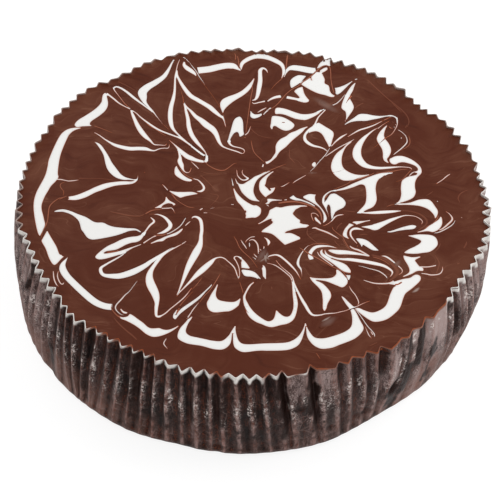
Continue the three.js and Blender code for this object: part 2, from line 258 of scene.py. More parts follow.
# Lines drawn through the icing: x, y and width in turn, in millimetres.
LINES: dict[Tone, tuple[Point, ...]] = {Tone.WHITE: (
    (-30.3, 90, 0.5, -31.8, 92.2, 0.7, -34.6, 93.8, 0.9, -36.6, 92, 1, -37.9, 89, 1.1, -38.9, 85.5, 1.5,
     -41.1, 79.9, 2.6, -44.5, 75.9, 3.5, -48.3, 72.2, 4.1, -50.1, 69, 4.4, -49.6, 65.6, 3.6, -48.8, 62.5, 2,
     -47, 59.5, 1.2, -45, 56.5, 1, -43, 53, 0.6, -40, 48, 0.3),
    (-34.5, 91.5, 0.5, -35.3, 88, 0.6, -35.7, 84, 0.7, -36, 80, 1, -35.9, 70, 1.4, -36.3, 65, 1.9,
     -37, 60, 2.2, -37.2, 55, 2.4, -36.8, 50, 2.3, -35.8, 46, 1.8, -34, 43, 1.2, -28, 36, 0.6,
     -25, 32.5, 0.8, -21.3, 28.9, 0.8),
    (-35.3, 84, 0.6, -34.9, 80, 1.2, -28.9, 67.7, 2.5, -25.7, 65, 2.6, -22.7, 62.6, 2.6, -20, 60.3, 2.7,
     -17.7, 57.5, 2.4, -15.5, 54.9, 1.7, -13.8, 53, 1.1, -12.6, 47.8, 0.4),
    (-31.6, 62.5, 0.6, -31, 60, 0.9, -30.3, 57, 1.5, -29.3, 52, 1.9, -28.7, 47, 2.2, -27.3, 42, 2.3,
     -25.3, 38, 2.1, -20.8, 30.5, 0.7, -20.3, 28, 0.9, -20.4, 26, 1.2),
    (-31.3, 62.5, 0.5, -30.2, 60.2, 0.8, -28, 57, 1.6, -26, 54, 2.2, -23.5, 51.5, 3, -21, 48.5, 3.6,
     -18.5, 46, 3.4, -16.8, 43, 2.6, -14.8, 37, 1.6, -13.3, 34.9, 1.1, -6.8, 32, 0.9, -5.3, 31.2, 0.7,
     -4.6, 31.3, 0.5, -4.1, 32.3, 0.5, -4.3, 33.5, 0.7, -5.5, 34.4, 0.8, -9.3, 35.6, 1, -10.6, 37, 1.3,
     -11, 39, 1.4),
    (-63.2, 71, 1, -62, 72, 1.2, -60, 71.3, 1.3, -57, 68.8, 1.5, -54, 65.5, 1.6, -48.8, 60, 1,
     -45, 56, 0.9),
    (-63.2, 71, 0.8, -62.5, 69.5, 0.7, -61, 67, 0.5, -57, 60.5, 0.35, -55, 58.3, 0.3),
    (-66, 67.3, 1.5, -65, 66.5, 1.2, -62.5, 64, 1.1, -60, 61.3, 0.9, -55, 57.6, 0.6),
    (-54.7, 57, 0.7, -53.7, 54, 1.5, -52.5, 50.5, 1.8, -51, 46.5, 2.3, -49, 42.5, 2.6, -47, 39.5, 2.2,
     -45, 37.2, 1.3, -43.8, 35.5, 0.9, -43, 35, 0.9, -41, 34.9, 0.7, -38.5, 34.9, 0.5, -38, 35.8, 0.3),
    (-54, 56.8, 0.6, -52, 54.8, 0.7, -50, 52.2, 0.9, -44, 46.2, 1.3, -41, 44, 1.2, -35, 41, 1.1,
     -32.5, 39.7, 1.1, -27.5, 35, 0.8, -22.5, 29.8, 0.9, -21.2, 28.9, 0.9),
    (-69.3, 36, 0.3, -67.5, 34.4, 1.5, -64.3, 28.5, 2, -62.2, 22.3, 3.3, -61.1, 19.8, 3.9, -59.6, 17.3, 3.9,
     -57.6, 15, 3.2, -55.3, 13.7, 2.2, -53, 13.3, 1.2, -51, 13, 0.8, -49.7, 13.4, 0.7, -49.4, 15, 0.4,
     -49.6, 17, 0.2),
    (-69.7, 42, 0.5, -67.5, 40.3, 0.7, -65, 37.8, 0.9, -62.5, 35.7, 1.3, -60, 34, 2, -54, 32.1, 2.6,
     -50, 32.3, 2.5, -47, 32.2, 2.4, -44.5, 31.4, 1.3, -43, 31.3, 1, -41, 32.5, 0.8, -39, 33, 0.7,
     -37.3, 33.1, 0.7, -36.8, 34.2, 0.5, -36.8, 35.5, 0.3),
    (-37, 38.3, 0.3, -34.5, 35.3, 0.8, -29, 28.3, 2.8, -27, 27, 2.8, -25, 26, 2.2, -22.5, 25.3, 1.8,
     -20.7, 25.2, 1.6, -20.2, 26.5, 1, -20.2, 29, 0.7),
    (-33, 32, 0.3, -31.8, 27.5, 1.5, -31.8, 25, 2.3, -31, 22.5, 2.2, -30.3, 20, 1.2, -29.6, 18.7, 0.8,
     -28.6, 18, 0.7, -27.6, 18.2, 0.5, -27, 19.5, 0.4, -26.8, 21, 0.3),
    (1.2, 57.5, 0.5, 3, 59.2, 0.9, 5, 60.8, 0.5),
    (3.8, 56.3, 0.6, 5, 58.3, 0.9, 7, 60.8, 1),
    (4.2, 24.6, 0.8, 3.9, 23, 0.9),
    (-26, 84.5, 4.5, -21, 85.6, 4.4, -17, 87.2, 4.2, -13, 88.4, 4.1, -10.3, 88.2, 3.9, -8.3, 86.6, 1.8,
     -6.8, 85.4, 0.6),
    (-32.4, 90, 1, -32.3, 88, 1.8, -31, 86, 2.6, -29, 84, 2.5, -27.4, 82.2, 1.6, -26.7, 80.8, 0.5),
    (-6.5, 86.1, 0.4, -6.7, 88, 1.5, -6.2, 90.3, 2.1, -4.2, 92.8, 2.6, -1, 94.8, 2.8, 2.5, 95.2, 3.1,
     6, 94.2, 3, 9, 92.3, 2.9, 11.2, 90.2, 2.4, 12.3, 87.3, 1.7, 12, 81.8, 0.9, 11.5, 80.3, 0.5),
    (12.7, 81.5, 0.5, 13.5, 84.3, 1, 14.6, 86.8, 2.2, 16.5, 87.8, 3.8, 19, 87.6, 4, 25, 86.3, 4.2,
     26.8, 86.5, 3.6),
    (5.3, 84, 0.3, 4.9, 85.5, 0.8, 4.1, 86.8, 1.2, 3, 87.3, 1.6, 2, 86, 2, 1.9, 83, 2.1, 2, 79, 2.3,
     1.7, 75, 2.4, 0.7, 67.5, 1.7, -0.2, 65.8, 1.2, -1.3, 65.4, 0.7),
    (-1.3, 64, 0.5, -0.5, 63.3, 0.8, 1.5, 64, 0.9, 4.3, 65, 1.1),
    (5.5, 65, 0.8, 7, 66.5, 1.3, 9, 67.8, 1.8, 11.3, 68.5, 2),
    (14, 68, 2, 17, 67.3, 1.8, 19.5, 66.7, 1.7),
    (39.8, 71, 0.4, 38, 67.5, 0.7, 36, 64.8, 0.8, 33, 62.8, 0.8, 30.5, 60.8, 0.7, 27.5, 59, 0.6),
    (31.5, 61, 0.7, 28, 55.5, 0.9, 27, 52.5, 1, 26, 50, 0.9, 24, 47.5, 1.2, 22.8, 45.5, 1.3, 22, 43, 1.5,
     22.3, 40.5, 1.8, 23.7, 38.5, 1.9, 25.8, 37, 1.6, 28.5, 36.2, 1.2, 30.5, 35.2, 0.9, 31.8, 33.8, 0.6),
    (33.7, 37, 0.5, 35.5, 40, 0.9, 38, 43, 1.2, 40.5, 45.2, 0.5),
    (40.8, 43.3, 0.4, 46, 47.8, 1.1, 49, 49.3, 1.1, 52, 51, 0.9, 57, 54.8, 0.4, 60, 57, 0.3),
    (54, 49.5, 0.4, 52, 47.8, 0.8, 50, 45.5, 1.2, 48, 42.8, 2, 46, 39, 3, 44.8, 35, 3.8, 44.8, 31, 4.1,
     46, 28, 3.8, 48, 25.5, 3.2, 51, 24.2, 2.3, 54.5, 23.9, 1.8, 58, 24.3, 1.5, 64, 25.1, 0.7,
     67.8, 24.6, 0.6, 68.2, 23.7, 0.4),
    (63, 48.5, 0.6, 64.2, 47.5, 0.6, 66.1, 44.8, 0.6, 66.7, 41.8, 0.7, 66.4, 40.3, 0.8, 64.3, 37, 0.8,
     61.5, 33.7, 0.7, 60.5, 32.5, 0.5),
    (46, -12, 0.4, 49.5, -12, 2.4, 51.5, -12, 3.9, 53.5, -10.8, 3.4, 56, -9.1, 2.6, 58.5, -7.4, 2.1,
     63, -5, 1, 65, -4.4, 0.8, 69, -4.9, 0.6, 71.5, -7, 0.6, 71.8, -8.2, 0.5, 71.4, -9.3, 0.4),
    (44.4, -3.6, 0.5, 46.5, -3.6, 0.8, 50, -3.4, 1.6, 54, -2.9, 2.1, 60, -2.1, 1.6, 62, -1.8, 0.9,
     63.4, -1.7, 0.6),
    (84.6, 21.5, 0.5, 83.3, 20.3, 0.7, 81.2, 17.8, 0.6, 79, 15.7, 0.5, 78.5, 15.2, 0.2),
    (60, 21.5, 0.4, 57.5, 20.6, 0.8, 55.5, 19.4, 1.3, 53.5, 18.5, 2),
    (35, 9.6, 0.8, 33, 8.8, 0.9, 30.5, 5.8, 1.1, 30, 2.3, 1.3, 30.4, 0.8, 1.3, 31, -1.2, 0.9, 32, -5, 0.4,
     32.3, -7, 0.3),
    (28.1, -7, 0.3, 27.6, -5.9, 0.5, 26.8, -5, 0.5, 25.8, -4.7, 0.6, 25, -5, 0.5, 25.6, -8.7, 0.4,
     26, -9.6, 0.2),
    (38.8, -5.1, 0.3, 37.5, -5.3, 0.8, 36, -5.8, 0.8, 35, -6.7, 0.8, 33.5, -9.3, 0.5, 31, -11.7, 0.4,
     29.8, -12.3, 0.3),
    (47, -13.9, 0.3, 44.5, -13.2, 1.5, 43, -13.3, 1.6, 42, -14, 1.3, 41.4, -15.2, 1.1, 41.4, -17, 1,
     42, -18.7, 0.9, 44, -22, 0.5),
    (53.9, -28.9, 0.3, 55.5, -29.1, 1, 57, -30, 1.1, 60, -33.3, 0.9, 62.5, -36.5, 0.6, 62.4, -38, 0.5,
     60, -40.3, 0.3),
    (5.9, -0.2, 0.5, 6.5, -0.7, 0.7, 7, -1.4, 0.3),
    (-7.2, 20.8, 0.4, -6.6, 17, 0.6, -4.7, 14.6, 0.9, -3.5, 14.5, 1, -2.5, 15.1, 1.1, -1.9, 15.7, 0.6),
    (-4.6, 20.8, 0.4, -4.8, 19.5, 0.5, -4.4, 18, 0.6, -2.8, 16.2, 0.9, -2, 15.7, 0.6),
    (-27, 15, 0.3, -25, 14.2, 0.7, -23.5, 13.6, 0.8, -21, 9.8, 1.2, -21, 8.3, 1.3, -21.8, 7.2, 1.4,
     -22.5, 6.9, 1.2, -23.8, 6.9, 0.5),
    (-42.7, -9.8, 0.6, -41.2, -12, 1.2, -42.9, -14.7, 1.1, -44.6, -18.3, 1, -45.5, -20.3, 1.6),
    (-52, -30.6, 0.4, -54, -32.8, 0.9, -60, -38, 1.3, -61.8, -40, 1.6, -61.7, -42, 1.8, -60.5, -43.8, 2,
     -56, -44.3, 3.1, -53.5, -44, 3.4, -48.5, -41.6, 3.6, -43.5, -37.7, 2.7, -41.5, -35.5, 2.2,
     -35.5, -29.5, 0.9, -34, -28, 0.6, -32.5, -27, 0.4),
    (-41.5, -7.9, 0.4, -40, -7.8, 0.8, -38, -8.6, 1.2, -36.3, -10, 1.6, -34.3, -13.5, 2, -34.5, -15.3, 2,
     -35.7, -17, 2, -37.2, -18.3, 1.6, -39.7, -19.4, 0.4),
    (-29, -25, 0.4, -30.5, -26.2, 0.7, -34.2, -29.2, 0.9, -36.7, -32, 1.1, -38.2, -34.3, 1.6,
     -40.8, -39.7, 2.1, -41.5, -42.3, 2.7, -41.6, -45, 3.3, -41, -48, 3.9, -40, -50.7, 4, -38.9, -53.5, 3.6,
     -38.2, -56.3, 2.9, -37.9, -59, 2, -38, -62, 1.7, -37.6, -66.2, 1.3, -36.7, -66.4, 1.4,
     -35.5, -65.7, 0.9, -34, -64.3, 0.8, -32.5, -62.3, 0.7, -27, -55.5, 0.7, -24, -50, 0.3),
    (-25.4, -9.5, 0.4, -25, -8.7, 0.9, -24, -8.4, 1.3, -22.7, -9, 1.6, -21.7, -10.5, 1.7, -21, -16, 1.7,
     -21.2, -20, 1.8, -21.2, -22.5, 2, -21.6, -25.5, 2.8, -22.7, -29, 3.5, -25.2, -36.2, 3, -26.3, -40, 2.4,
     -29, -51, 0.8, -30, -54, 0.3),
    (-30, -55, 0.2, -29, -53, 0.5, -24.3, -45.7, 1.5, -22, -42.3, 2.5, -20, -39.6, 3, -16.8, -35.3, 2.4,
     -15, -32.9, 1.2, -13.8, -32.2, 0.9, -12.5, -32, 0.9, -11.2, -32.5, 0.8, -9.9, -33.8, 0.7,
     -7.2, -37.1, 0.8, -6.3, -39.2, 0.7, -5.7, -41.5, 0.7, -5.1, -43.7, 0.3),
    (-75.8, -34, 0.2, -77.6, -38.5, 2.4, -77.5, -41, 3.2, -76.6, -43.3, 3.4, -74.8, -46.2, 3.4,
     -64, -58.2, 3.6, -61.2, -60.2, 3.6, -58.5, -61.3, 3.7, -56, -61.6, 3.7),
    (10.3, -33, 0.4, 12.5, -36.5, 0.5, 16.8, -41.6, 0.7, 18, -46, 0.9, 19.8, -51.3, 1.2, 22.2, -57, 1.6,
     25.5, -63.1, 1.3, 28.7, -63.1, 0.9, 30.3, -62.5, 0.8, 32.5, -62.1, 0.8, 34.8, -61.8, 0.6, 37, -61, 0.6,
     39, -60.3, 0.5, 41.5, -58.7, 0.5, 43.3, -57.9, 0.6, 47, -55.5, 0.4, 48.8, -54.6, 0.3),
    (6.7, -31.8, 0.5, 7.2, -30.8, 0.8, 10.2, -29.8, 1.1, 11.8, -30.4, 1.3, 13.2, -31.7, 1.2,
     16.2, -35.3, 1.2, 18.7, -39, 0.8, 20.7, -43.5, 0.2),
    (-5, -44.5, 0.2, -4.6, -42.5, 0.5, -5, -37.5, 0.6, -6.3, -33.7, 0.7, -7, -32.3, 0.8, -6.8, -31.4, 0.8,
     -5.9, -31.1, 0.7, -4.2, -32.2, 1),
    (5.2, -19.7, 0.4, 6, -20.2, 0.8, 7.1, -22, 1.5, 7.2, -23, 1.3, 6.8, -24.5, 0.3),
    (25.5, -23.2, 0.3, 23.5, -24.3, 0.5, 20.3, -30, 0.9, 19.4, -34.3, 1.4, 19.8, -36, 1.2, 20.6, -37.5, 1,
     20.9, -39, 0.6, 21.2, -43, 0.2),
    (35.8, -25, 0.3, 34, -24.4, 0.8, 32, -24, 1.1, 28, -24.3, 1.7, 26.3, -25.2, 1.9, 24.6, -28, 1.9,
     24.4, -29.5, 2, 24.8, -31, 2.3, 25.1, -31.9, 1.9),
    (30.6, -26, 0.3, 30.8, -27.5, 0.8, 31.5, -28.8, 1, 35, -30.8, 1.2, 38, -31.3, 1.5, 41, -31.4, 2,
     50, -33.1, 2.2, 55.5, -34.9, 1.7, 58.4, -37.8, 1, 58.2, -39.3, 0.7, 57.4, -40.7, 0.4),
), Tone.CREAM: (
    (-28, -9.3, 0.5, -30.2, -14.3, 0.7, -34.7, -18.8, 0.7, -36, -19.3, 0.5),
    (-25, -66.5, 0.8, -24, -64.3, 0.6, -23, -62, 0.6, -20.8, -58, 0.3),
    (6.8, -34.7, 0.4, 8.5, -35.2, 0.4, 10.2, -36, 0.6, 16.3, -42.3, 0.6, 17, -44.2, 0.6),
    (-1, -21.8, 0.4, -0.3, -21.2, 0.5, 0.8, -21.2, 0.8, 2.4, -23.5, 0.8, 3.2, -30.3, 0.7, 3.6, -31.8, 0.6),
    (41, -23.5, 0.4, 41.8, -24.4, 1, 43, -25.2, 1.2, 44.5, -25.8, 1.4, 49, -29, 0.7),
    (44.5, -34.9, 0.4, 46.5, -35.4, 0.5, 48.5, -36.2, 0.6, 53, -37.8, 0.8, 55.8, -40.5, 0.7,
     56.2, -41.5, 0.4),
    (46.5, -43, 0.4, 51, -44.6, 0.9, 57, -44.3, 1.2, 59, -43.2, 1.6),
    (70, -34.5, 0.9, 73.5, -34.3, 0.8, 76.6, -33.4, 0.8),
    (-83.8, 11.9, 0.8, -82, 11.8, 0.8, -80.5, 11.4, 0.6, -79, 11, 0.7, -77, 11.2, 0.7, -74.5, 11.8, 0.3),
    (-4, 42.9, 0.7, -2.8, 44.5, 0.6, -1.7, 48.5, 0.3),
    (-30.5, 91, 0.3, -28.5, 87, 0.5, -26.8, 84, 0.6, -25.5, 81, 0.6, -22.5, 75, 0.3),
    (70.3, 22.8, 0.4, 68.5, 21.8, 0.6, 67.5, 20.5, 0.6, 66.8, 19.3, 0.3),
    (13.5, 1.6, 0.5, 15, 1.8, 0.8, 19.5, 1.9, 0.4),
    (25.3, -13.9, 0.5, 26.5, -13.6, 1.1, 28, -14.4, 1.1, 32, -16.3, 1.2, 36.5, -19.6, 0.3),
    (1.2, -19.3, 0.6, -0.3, -19.7, 0.5, -2.3, -22, 0.4, -2.5, -23, 0.2),
    (-0.9, -23, 0.5, -0.8, -24.3, 0.7, -0.9, -25.5, 0.3),
    (-4.5, -21.3, 0.3, -3.6, -23.3, 0.6, -2.5, -25.3, 0.6, -1.9, -26.7, 0.3),
    (5.2, -24.8, 0.4, 5.2, -26, 0.6, 3.9, -28.5, 0.5),
    (3.5, -26.5, 0.4, 4.2, -27.5, 0.5),
    (1, -29.3, 0.3, 2, -30.8, 0.6, 3, -32, 0.5),
    (0.5, -31, 0.3, 2, -32.5, 0.6, 3.5, -33.3, 0.4),
    (-38.3, -4.1, 0.7, -35.5, -3.8, 0.8, -34.2, -3.6, 0.6, -32.5, -6.8, 0.2),
    (-36.3, 7, 0.5, -37.5, 8.8, 0.5, -38.7, 10.5, 0.3),
    (-22.2, -4.3, 0.7, -21.5, -3.6, 0.8, -21.1, -3.2, 0.5),
    (-20.5, -5.9, 0.5, -19, -5.9, 0.4),
    (-16, -2.5, 0.3, -17, -3, 0.4, -18, -3.5, 0.3),
    (-9, -0.6, 0.5, -8, -0.6, 0.5),
    (-40, -20.5, 0.8, -41.5, -21.5, 0.6, -45, -25, 0.9),
    (-26, -11.3, 0.4, -27, -12.5, 0.7, -28, -14, 0.4),
    (-27.3, -23.2, 0.4, -28.3, -24.3, 0.5, -29, -25, 0.5),
    (-46, -46, 0.2, -46.8, -47.3, 0.4, -49.5, -52.8, 0.5, -51, -54.7, 0.7, -52.3, -57, 0.9, -54.5, -61, 0.8,
     -54.3, -63, 0.7, -52.3, -65.5, 0.5, -50.8, -66.2, 0.3),
    (-33.2, -78.3, 0.4, -34.1, -81, 0.6, -32.5, -83.8, 0.3),
    (-81.3, -42.5, 0.4, -80.6, -47, 0.7, -79.3, -50.3, 0.5, -78.4, -51.3, 0.2),
    (-79.2, -42.5, 0.3, -79.4, -44.5, 0.5, -79, -46.8, 0.6, -77.6, -49.6, 0.6, -76.9, -49.9, 0.6,
     -76.5, -49, 0.4),
    (27.5, -27.5, 0.4, 28.2, -29.3, 0.6, 32.7, -34, 0.7, 34, -35.3, 0.5),
    (42.8, -59.5, 0.4, 44, -61.2, 0.5, 48, -69, 0.6, 49.5, -71.2, 0.6, 50.4, -73, 0.7, 50.5, -74.5, 0.3),
    (46.8, -69, 0.3, 48.3, -73.7, 0.5, 49.3, -75.3, 0.2),
    (49, -71.5, 0.4, 49.8, -73.3, 0.6),
    (22.5, 18.5, 0.4, 18, 14.5, 0.5, 17, 13.3, 0.3),
    (15.5, 13.7, 0.3, 12.7, 11.2, 0.5, 11.8, 10.9, 0.3),
    (33, 36, 0.4, 31, 31.5, 0.6, 28.5, 27.5, 0.5, 26.5, 24, 0.5, 24.5, 21, 0.4),
    (43.5, 41.7, 0.4, 41.5, 40, 0.6, 36, 35.5, 0.7, 33.5, 33, 0.7, 31, 30.5, 0.4),
    (40.5, -46.5, 0.3, 41.5, -49, 0.5, 43, -51.5, 0.5, 44.3, -55.5, 0.5, 44, -57, 0.3),
    (79.3, -34, 0.3, 79.2, -36, 0.5, 78, -38.2, 0.7, 74.5, -39, 0.9, 72.5, -38.5, 0.8, 70.5, -38.2, 0.5),
    (82, -1.5, 0.3, 83.5, -3, 0.5, 84.5, -5.8, 1, 82.5, -9, 1.1, 80, -11.8, 0.8, 78.8, -12.5, 0.5),
    (85.7, -6.5, 0.4, 85, -8.2, 0.5, 83.8, -9.8, 0.7, 78.5, -13.8, 0.8, 76.5, -14.4, 0.4),
    (78.4, 4.6, 0.5, 78.8, 4.4, 0.5),
    (88.3, -4.8, 0.4, 88.7, -4.8, 0.4),
    (64.2, 43.6, 0.5, 64.2, 43, 0.5),
    (-27, 25, 0.3, -25, 22.5, 0.6, -23.5, 20.5, 0.4),
    (-9.2, 15.5, 0.35, -8.9, 13.4, 0.6, -8.5, 11, 0.9),
    (-7.7, 15.4, 0.3, -7.1, 13.5, 0.6, -6.6, 12, 0.7),
    (62.8, 54.8, 0.6, 62.5, 51.5, 0.5, 59.9, 45.5, 0.34, 57.7, 43.5, 0.26),
    (54.1, 49.2, 0.5, 56.7, 52.1, 0.34, 59.3, 54.4, 0.22),
    (59.1, 50.6, 0.2, 59.5, 49.8, 0.34, 60.5, 49.4, 0.2),
    (59.7, 52.9, 0.2, 60.8, 53.6, 0.3, 61.5, 52.5, 0.2),
    (-15.3, 59.9, 0.3, -13.6, 54.4, 0.3, -13.1, 51.8, 0.2),
), Tone.TAN: (
    (-40, 48, 0.3, -38.5, 46.2, 0.4, -37, 44.5, 0.2),
    (-70, 46.2, 0.6, -66.5, 44.5, 0.5, -62, 42, 0.3),
    (-48, 49.3, 0.3, -46, 46.8, 0.6, -43, 44.5, 0.6, -40, 41.8, 0.5, -38.5, 40.8, 0.3),
    (-33.5, 72, 0.3, -32.3, 67, 0.4, -31.5, 62, 0.5),
    (-80, 0.8, 0.4, -81.8, 0.3, 0.6, -84.7, -2.8, 0.8, -85.7, -5, 0.8, -85.9, -10, 0.8, -85.9, -13, 0.6,
     -86.3, -15.5, 0.8, -87.5, -20, 0.5, -87.8, -24, 0.3),
    (-80.5, 10.1, 0.4, -81.7, 9.5, 0.5, -82.2, 8.2, 0.5, -81.7, 6.5, 0.5, -80.7, 5, 0.4, -80.3, 3.5, 0.4,
     -80.5, 2, 0.3),
    (-1.5, 76, 0.4, -1.4, 72, 0.6, -1.9, 68, 0.7, -3.7, 44.5, 0.4),
    (-1.3, 39.5, 0.3, -1, 37, 0.6, 0.2, 32, 0.6, 3, 28, 0.6, 4.5, 26, 0.4),
    (-22, 26, 0.3, -19, 22.5, 0.7, -15, 20.2, 1.1, -12.5, 20.3, 0.9, -8.3, 24.6, 0.5, -7.3, 24.9, 0.3),
    (3.5, 19.3, 0.5, 6.5, 20.5, 0.7, 11.5, 23.6, 0.6, 14, 25, 0.3),
    (-9.9, 97, 0.4, -9.3, 94.8, 0.7, -9.5, 92.2, 0.4),
    (-8.5, 95, 0.6, -8, 92, 0.7, -7.8, 89.5, 0.6, -6.7, 85.5, 0.4),
    (14.5, 97.5, 0.5, 14, 95, 1.1, 13.5, 87, 0.6),
    (12.8, 83, 0.6, 11.5, 80, 0.6, 9, 76.5, 0.5, 7, 73, 0.3),
    (32, 90.2, 0.4, 30, 89.3, 0.9, 24, 81.5, 1, 21, 78.2, 1, 19, 75.5, 0.8, 17, 74, 0.8, 14, 70.5, 0.7,
     10, 63.5, 0.7, 8, 61, 0.6, 5.5, 59, 0.3),
    (31.5, 90.3, 0.3, 33, 89, 0.7, 33.7, 80, 0.6, 34.3, 75, 0.7, 35, 71.5, 0.4),
    (68, 23.5, 0.4, 67, 22, 0.6, 63.5, 17, 0.4, 61.3, 16, 0.3),
    (52.5, 20.5, 0.4, 59, 21.9, 1, 62.5, 23, 0.7, 64.5, 23.6, 0.6, 66.5, 23.8, 0.4),
    (67.5, 45, 0.3, 67.9, 42, 0.6, 67.8, 40, 0.6, 66.8, 38, 0.6, 63, 34.8, 0.3),
    (52, 20.8, 0.4, 50.5, 19.6, 0.7, 46, 17, 0.8, 41, 14.9, 0.5),
    (78.6, -4, 0.4, 78.3, -5.5, 0.7, 76, -9, 0.6, 74, -10.5, 0.6, 72.5, -12, 0.3),
    (11, 0.8, 1.2, 15, 1.8, 1.8, 19, 1.9, 1.6, 26, -1.1, 1.4, 28.6, -4.5, 1.3, 29.4, -9, 0.6),
    (30.8, 4.5, 0.5, 31.2, 5.5, 0.9, 31.8, 6.5, 0.5),
    (-4.3, 41.2, 0.8, -3.7, 41.2, 0.8),
    (57, 0.6, 0.3, 58.5, 1.5, 0.6, 60, 2, 0.4),
    (33.8, -12.8, 0.4, 34, -14, 0.5, 36.5, -17, 0.6, 38, -18.3, 0.5, 39, -21, 0.6, 41.3, -26, 0.4),
    (-7.5, -19.5, 0.3, -6.3, -22, 0.6, -5.3, -25, 0.6, -4, -27.5, 0.6, 0, -32.5, 0.5, 2.7, -37.5, 0.3),
    (-45, -7.8, 0.8, -43, -6, 1, -41, -5.2, 0.8, -38, -4.9, 0.4),
    (-34.5, 4.8, 0.6, -33, 2.3, 0.9, -32.5, 1.5, 0.6, -27.5, -2.5, 0.6, -25.5, -3, 0.6, -24.5, -3, 0.3),
    (-43.5, -8, 0.4, -42.4, -7.9, 0.5, -41.2, -7.8, 0.5),
    (-35.5, -19, 0.5, -37, -19.9, 1, -39, -20.2, 1, -41, -20.3, 0.5),
    (-23.5, -52, 0.3, -27, -57.5, 0.6, -28.5, -60.3, 0.6),
    (-20, -44, 0.3, -22, -48, 0.5, -24, -51, 0.3),
    (-56, -60, 0.3, -56.2, -62.3, 0.5, -53.8, -66.2, 0.7, -52.3, -67.6, 0.8),
    (-12.5, -41.5, 0.3, -13.5, -44, 0.6, -16.5, -51, 0.6, -18.5, -54, 0.6, -20.5, -58, 0.4),
    (-2.2, -59.5, 0.4, -1.5, -61.5, 0.8, -0.5, -63.2, 0.9, 0, -63.5, 0.7, 0.1, -62.5, 0.6, -0.5, -61, 0.6,
     -1, -59.5, 0.3),
    (-4.4, -46, 0.4, -3.2, -51, 0.5, -2.9, -52.5, 0.3),
    (24, -24.2, 0.4, 26, -23, 0.6, 31, -22.8, 0.6, 33, -23.5, 0.3),
    (20, -25.5, 0.4, 22, -27, 0.9, 24, -28.8, 1, 28, -31.5, 0.9, 34, -36, 0.8, 36, -37, 0.7, 38, -38.5, 0.6,
     41.5, -39.8, 0.3),
    (38, -38.5, 0.4, 39.3, -41, 0.6, 40.2, -44, 0.3),
    (50.5, -29.6, 0.6, 53, -30.5, 0.9, 55.5, -32, 0.9, 57.5, -34, 0.4),
    (27, -84, 0.3, 27.8, -85.5, 0.5, 28.5, -87, 0.3),
    (46, 18, 0.3, 42, 15.3, 0.5, 40, 13.5, 0.5, 36, 11, 0.5, 34.5, 10.3, 0.3),
    (-26.5, 25.2, 0.4, -24.5, 24.6, 0.7, -22, 24.3, 0.7, -20.7, 24.9, 0.3),
    (-31.8, 20.8, 0.3, -30.5, 18.5, 0.6, -29, 16.5, 0.6, -27, 15, 0.6, -25.5, 14.5, 0.3),
    (-46.9, 17.6, 0.4, -46.4, 17.5, 0.4),
    (44.4, -23, 0.4, 44, -24, 0.5),
    (-79, 1.5, 0.5, -80.5, 0.6, 0.8, -82, -0.5, 0.4),
    (-26.4, 80.5, 0.3, -21.5, 72.5, 0.3, -16.7, 63.2, 0.3, -14.2, 56.5, 0.3, -12.7, 49.2, 0.2),
    (48.7, 50.9, 0.4, 53.3, 52.9, 0.36, 57.9, 55, 0.3),
    (54.3, 39.4, 0.4, 52.8, 37.5, 0.32, 51.3, 36.1, 0.2),
    (-32, 66.4, 0.3, -31.7, 64.2, 0.4, -31.4, 62, 0.3),
), Tone.VEIL: (
    (-74.5, 12.8, 0.8, -73.3, 12.8, 0.9, -71.5, 12.9, 0.6, -66, 13, 0.5, -63, 12.8, 0.6, -60, 12.5, 0.4),
    (-1.5, 47.5, 0.3, -1, 46.2, 0.6, 2, 43, 0.5, 6, 41.6, 0.5, 9, 41.5, 0.3),
    (15.5, 35, 0.3, 15.4, 32, 0.6, 15.5, 29.5, 0.6, 16.5, 27.8, 0.6, 18, 25.5, 0.3),
    (67, 52.3, 0.3, 66.5, 50.8, 0.6, 66, 49.8, 0.3),
    (77, 10.5, 0.3, 76, 9.5, 0.6, 73.5, 7.3, 0.3),
    (62, -1.8, 0.5, 66, -1.7, 1, 70, -3, 1.2, 72.5, -5, 1.2, 73.7, -7.5, 1.2, 73, -10, 1, 71, -12, 0.7,
     69, -14, 0.4),
    (92, 12, 0.4, 89, 10, 0.8, 87.5, 7, 0.8, 88, 4, 0.4),
    (59, 69, 0.3, 63.5, 62, 0.7, 65, 60, 0.3),
    (50, 81, 0.5, 53.5, 76, 0.9, 58, 70, 0.9, 66.5, 59, 0.8, 67.8, 54, 0.7, 67, 50.5, 0.4),
    (44, 61.5, 0.4, 45.5, 63.5, 0.9, 48, 65.5, 0.5),
    (43.5, -3.2, 0.6, 40, -2.9, 0.6, 38, -2.9, 0.3),
    (45, -17, 0.5, 46.5, -16.5, 0.9, 48.5, -16.5, 0.4),
    (37.8, -10.1, 0.6, 36, -12.7, 0.7, 35.5, -14.5, 0.4),
    (23.5, -14, 0.4, 23.2, -17, 0.7, 25, -20, 0.7, 28, -23, 0.4),
    (-60, -7, 0.5, -57, -7.8, 1, -51.5, -9.2, 1.1, -47.2, -9.2, 0.9, -45.5, -8.2, 0.7),
    (-55, -67.5, 0.4, -52.5, -71, 0.8, -49.5, -74.5, 0.9, -47, -77, 1, -45, -79.3, 0.6),
    (8.6, -48, 0.3, 8.8, -49, 0.6, 8.9, -49.8, 0.4),
    (38, -19.8, 0.5, 38.6, -21.5, 0.7, 40.8, -25.3, 0.7, 44, -27, 0.3),
    (34.7, -20.8, 0.5, 35.5, -22.4, 0.7, 36.8, -23.8, 0.5),
    (50, -28.5, 0.8, 54, -30, 2, 57, -32, 2, 59.5, -35, 2, 60.5, -38, 2, 59, -41, 1.6, 57, -43, 0.8),
    (76.5, -27.5, 0.3, 78, -32, 0.7, 77, -36.5, 0.6, 76.5, -38.5, 0.3),
    (79, -20.5, 0.4, 78, -23, 0.7, 76.5, -25.3, 0.3),
    (85.5, -32.5, 0.6, 86, -32, 0.7, 86.5, -31.7, 0.5),
    (88.5, -23, 0.6, 89.5, -21, 1, 90, -19, 0.4),
